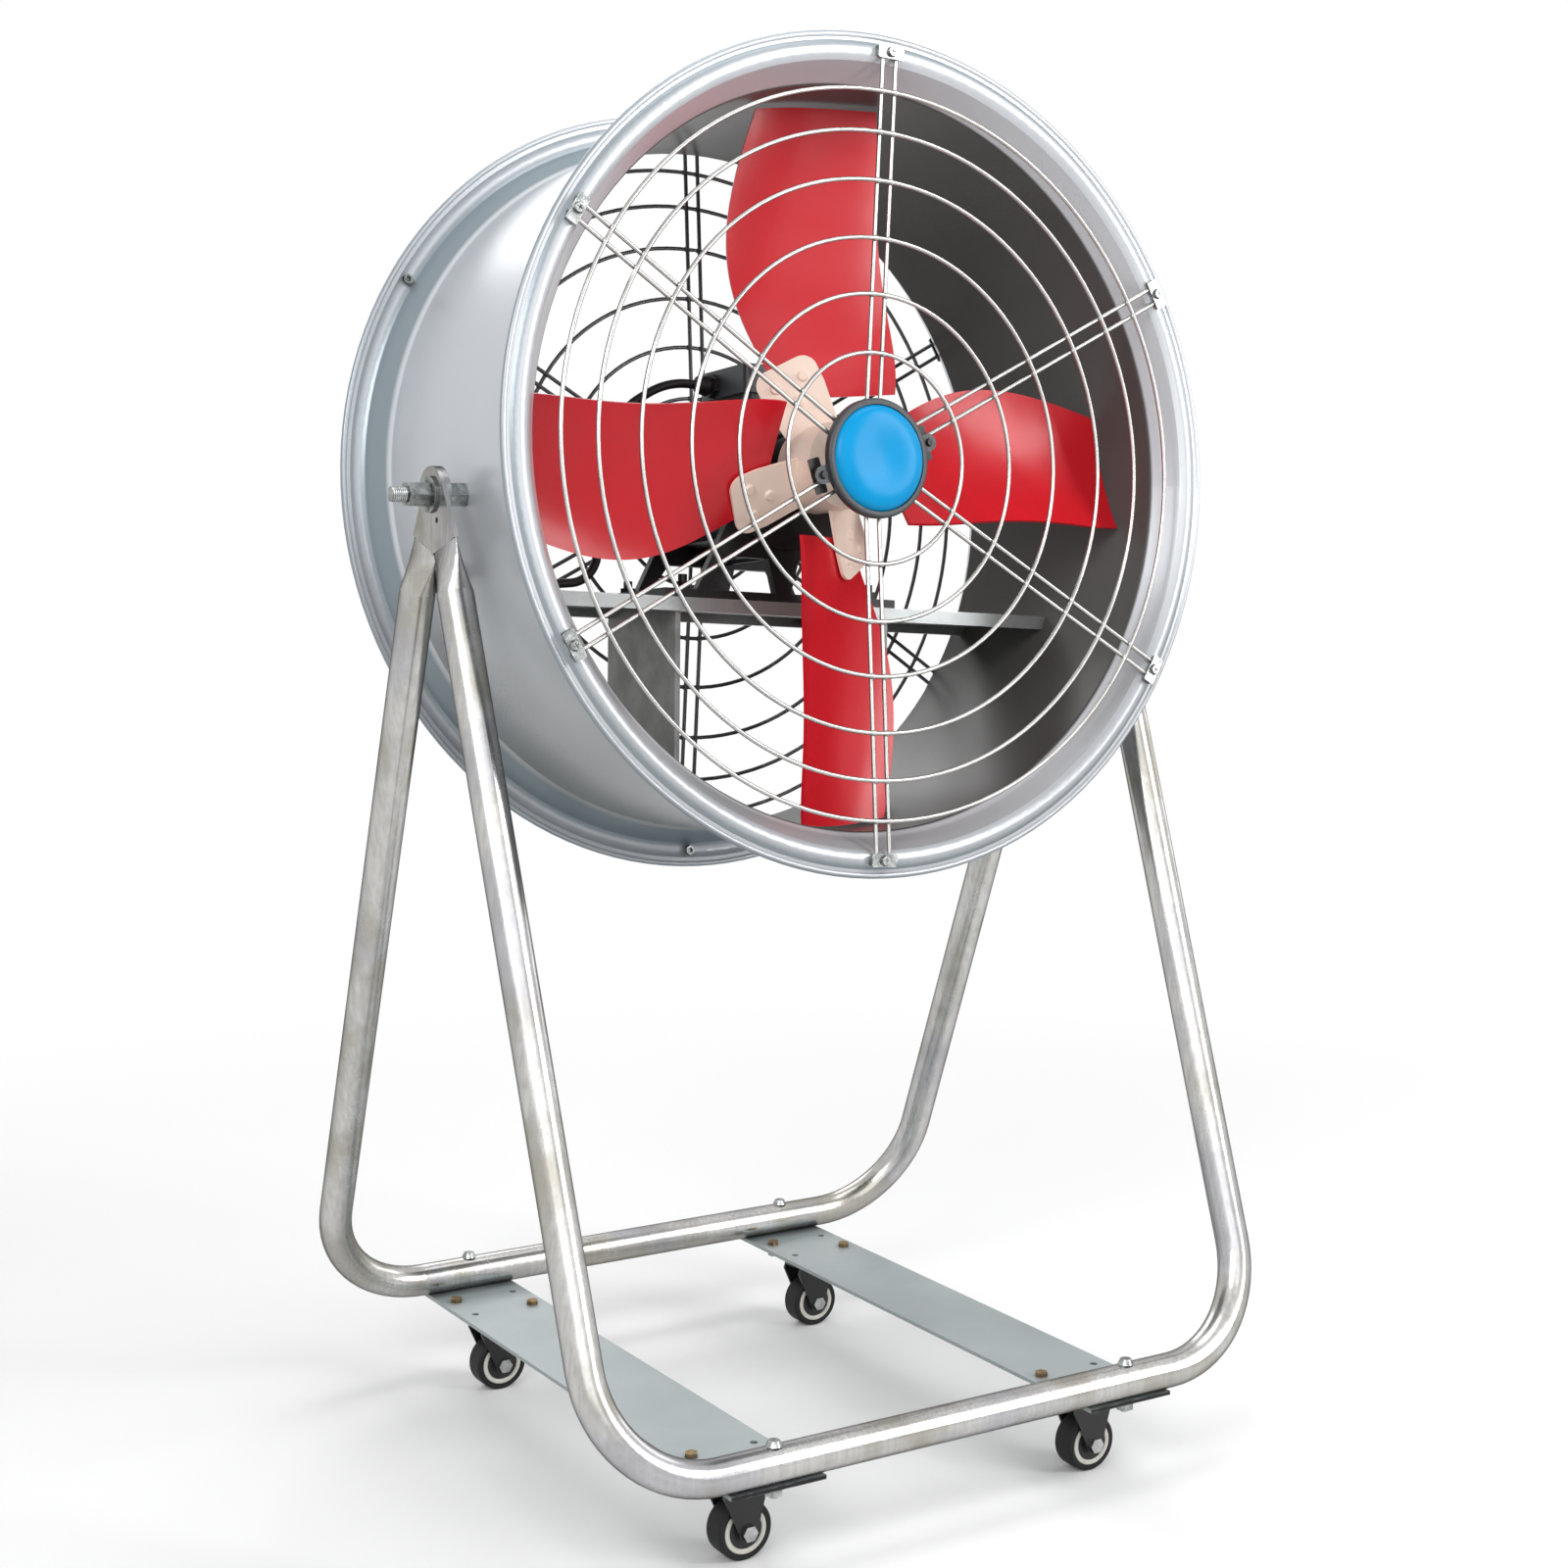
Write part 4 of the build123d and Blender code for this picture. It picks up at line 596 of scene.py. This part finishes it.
def build_world():
    """Plain soft light from all round, which the camera and reflections see as white."""
    world = bpy.data.worlds.new("studio")
    bpy.context.scene.world = world
    world.use_nodes = True
    background = world.node_tree.nodes["Background"]
    background.inputs["Color"].default_value = (1, 1, 1, 1)
    level = world.node_tree.nodes.new("ShaderNodeMapRange")
    world.node_tree.links.new(seen_directly(world.node_tree), level.inputs["Value"])
    level.inputs["To Min"].default_value = AMBIENT
    level.inputs["To Max"].default_value = 1.0
    world.node_tree.links.new(level.outputs[0], background.inputs["Strength"])


FLOOR_HALF = 30.0
FLOOR_SEEN = (0.94, 0.94, 0.94)
FLOOR_BOUNCE = (0.55, 0.55, 0.55)
# distances from the middle between which the floor gives way to white
FLOOR_FADES_OUT = (0.75, 1.9)


def build_floor():
    """A pale floor that keeps the object's shadow and gives way to plain white further out."""
    mesh = bpy.data.meshes.new("floor")
    corners = [(x * FLOOR_HALF, y * FLOOR_HALF, 0) for x, y in ((-1, -1), (1, -1), (1, 1), (-1, 1))]
    mesh.from_pydata(corners, [], [(0, 1, 2, 3)])
    floor = bpy.data.objects.new("floor", mesh)
    bpy.context.scene.collection.objects.link(floor)
    tree = Tree("floor_white")
    direct = seen_directly(tree.material.node_tree)
    tone = tree.mix(direct, rgba(FLOOR_BOUNCE), rgba(FLOOR_SEEN))
    tree.put(tree.shader.inputs["Base Color"], tone)
    tree.shader.inputs["Roughness"].default_value = 0.8
    tree.shader.inputs["Specular IOR Level"].default_value = 0.2
    far_out = tree.remap(tree.vector_maths("LENGTH", tree.coords), *FLOOR_FADES_OUT)
    mixed = tree.add("ShaderNodeMixShader")
    tree.put(mixed.inputs[0], tree.maths("MULTIPLY", far_out, direct))
    tree.put(mixed.inputs[1], tree.shader.outputs[0])
    tree.put(mixed.inputs[2], tree.add("ShaderNodeEmission").outputs[0])
    tree.put(tree.nodes["Material Output"].inputs["Surface"], mixed.outputs[0])
    mesh.materials.append(tree.material)


build_world()
build_floor()


# ---------------------------------------------------------------- camera, as fitted to the photograph
def look_matrix(yaw, pitch, roll):
    """The camera's turn: yaw from +Y toward -X, pitch up from level and roll, in degrees."""
    yaw, pitch, roll = (math.radians(angle) for angle in (yaw, pitch, roll))
    flat = math.cos(pitch)
    ahead = Vector((-math.sin(yaw) * flat, math.cos(yaw) * flat, math.sin(pitch)))
    level_right = Vector((math.cos(yaw), math.sin(yaw), 0))
    level_up = level_right.cross(ahead)
    right = math.cos(roll) * level_right + math.sin(roll) * level_up
    up = math.cos(roll) * level_up - math.sin(roll) * level_right
    return Matrix((right, up, -ahead)).transposed()


# the sensor's width and the lens are in millimetres, as Blender keeps them
camera_data = bpy.data.cameras.new("camera")
camera_data.sensor_width = 36
camera_data.lens = 56.11
camera = bpy.data.objects.new("camera", camera_data)
bpy.context.scene.collection.objects.link(camera)
camera_place = Matrix.Translation((-1.16821, -1.8302, 0.84855))
camera.matrix_world = camera_place @ look_matrix(yaw=-32.57, pitch=-6.65, roll=0.66).to_4x4()
bpy.context.scene.camera = camera
bpy.context.scene.view_settings.view_transform = "Standard"
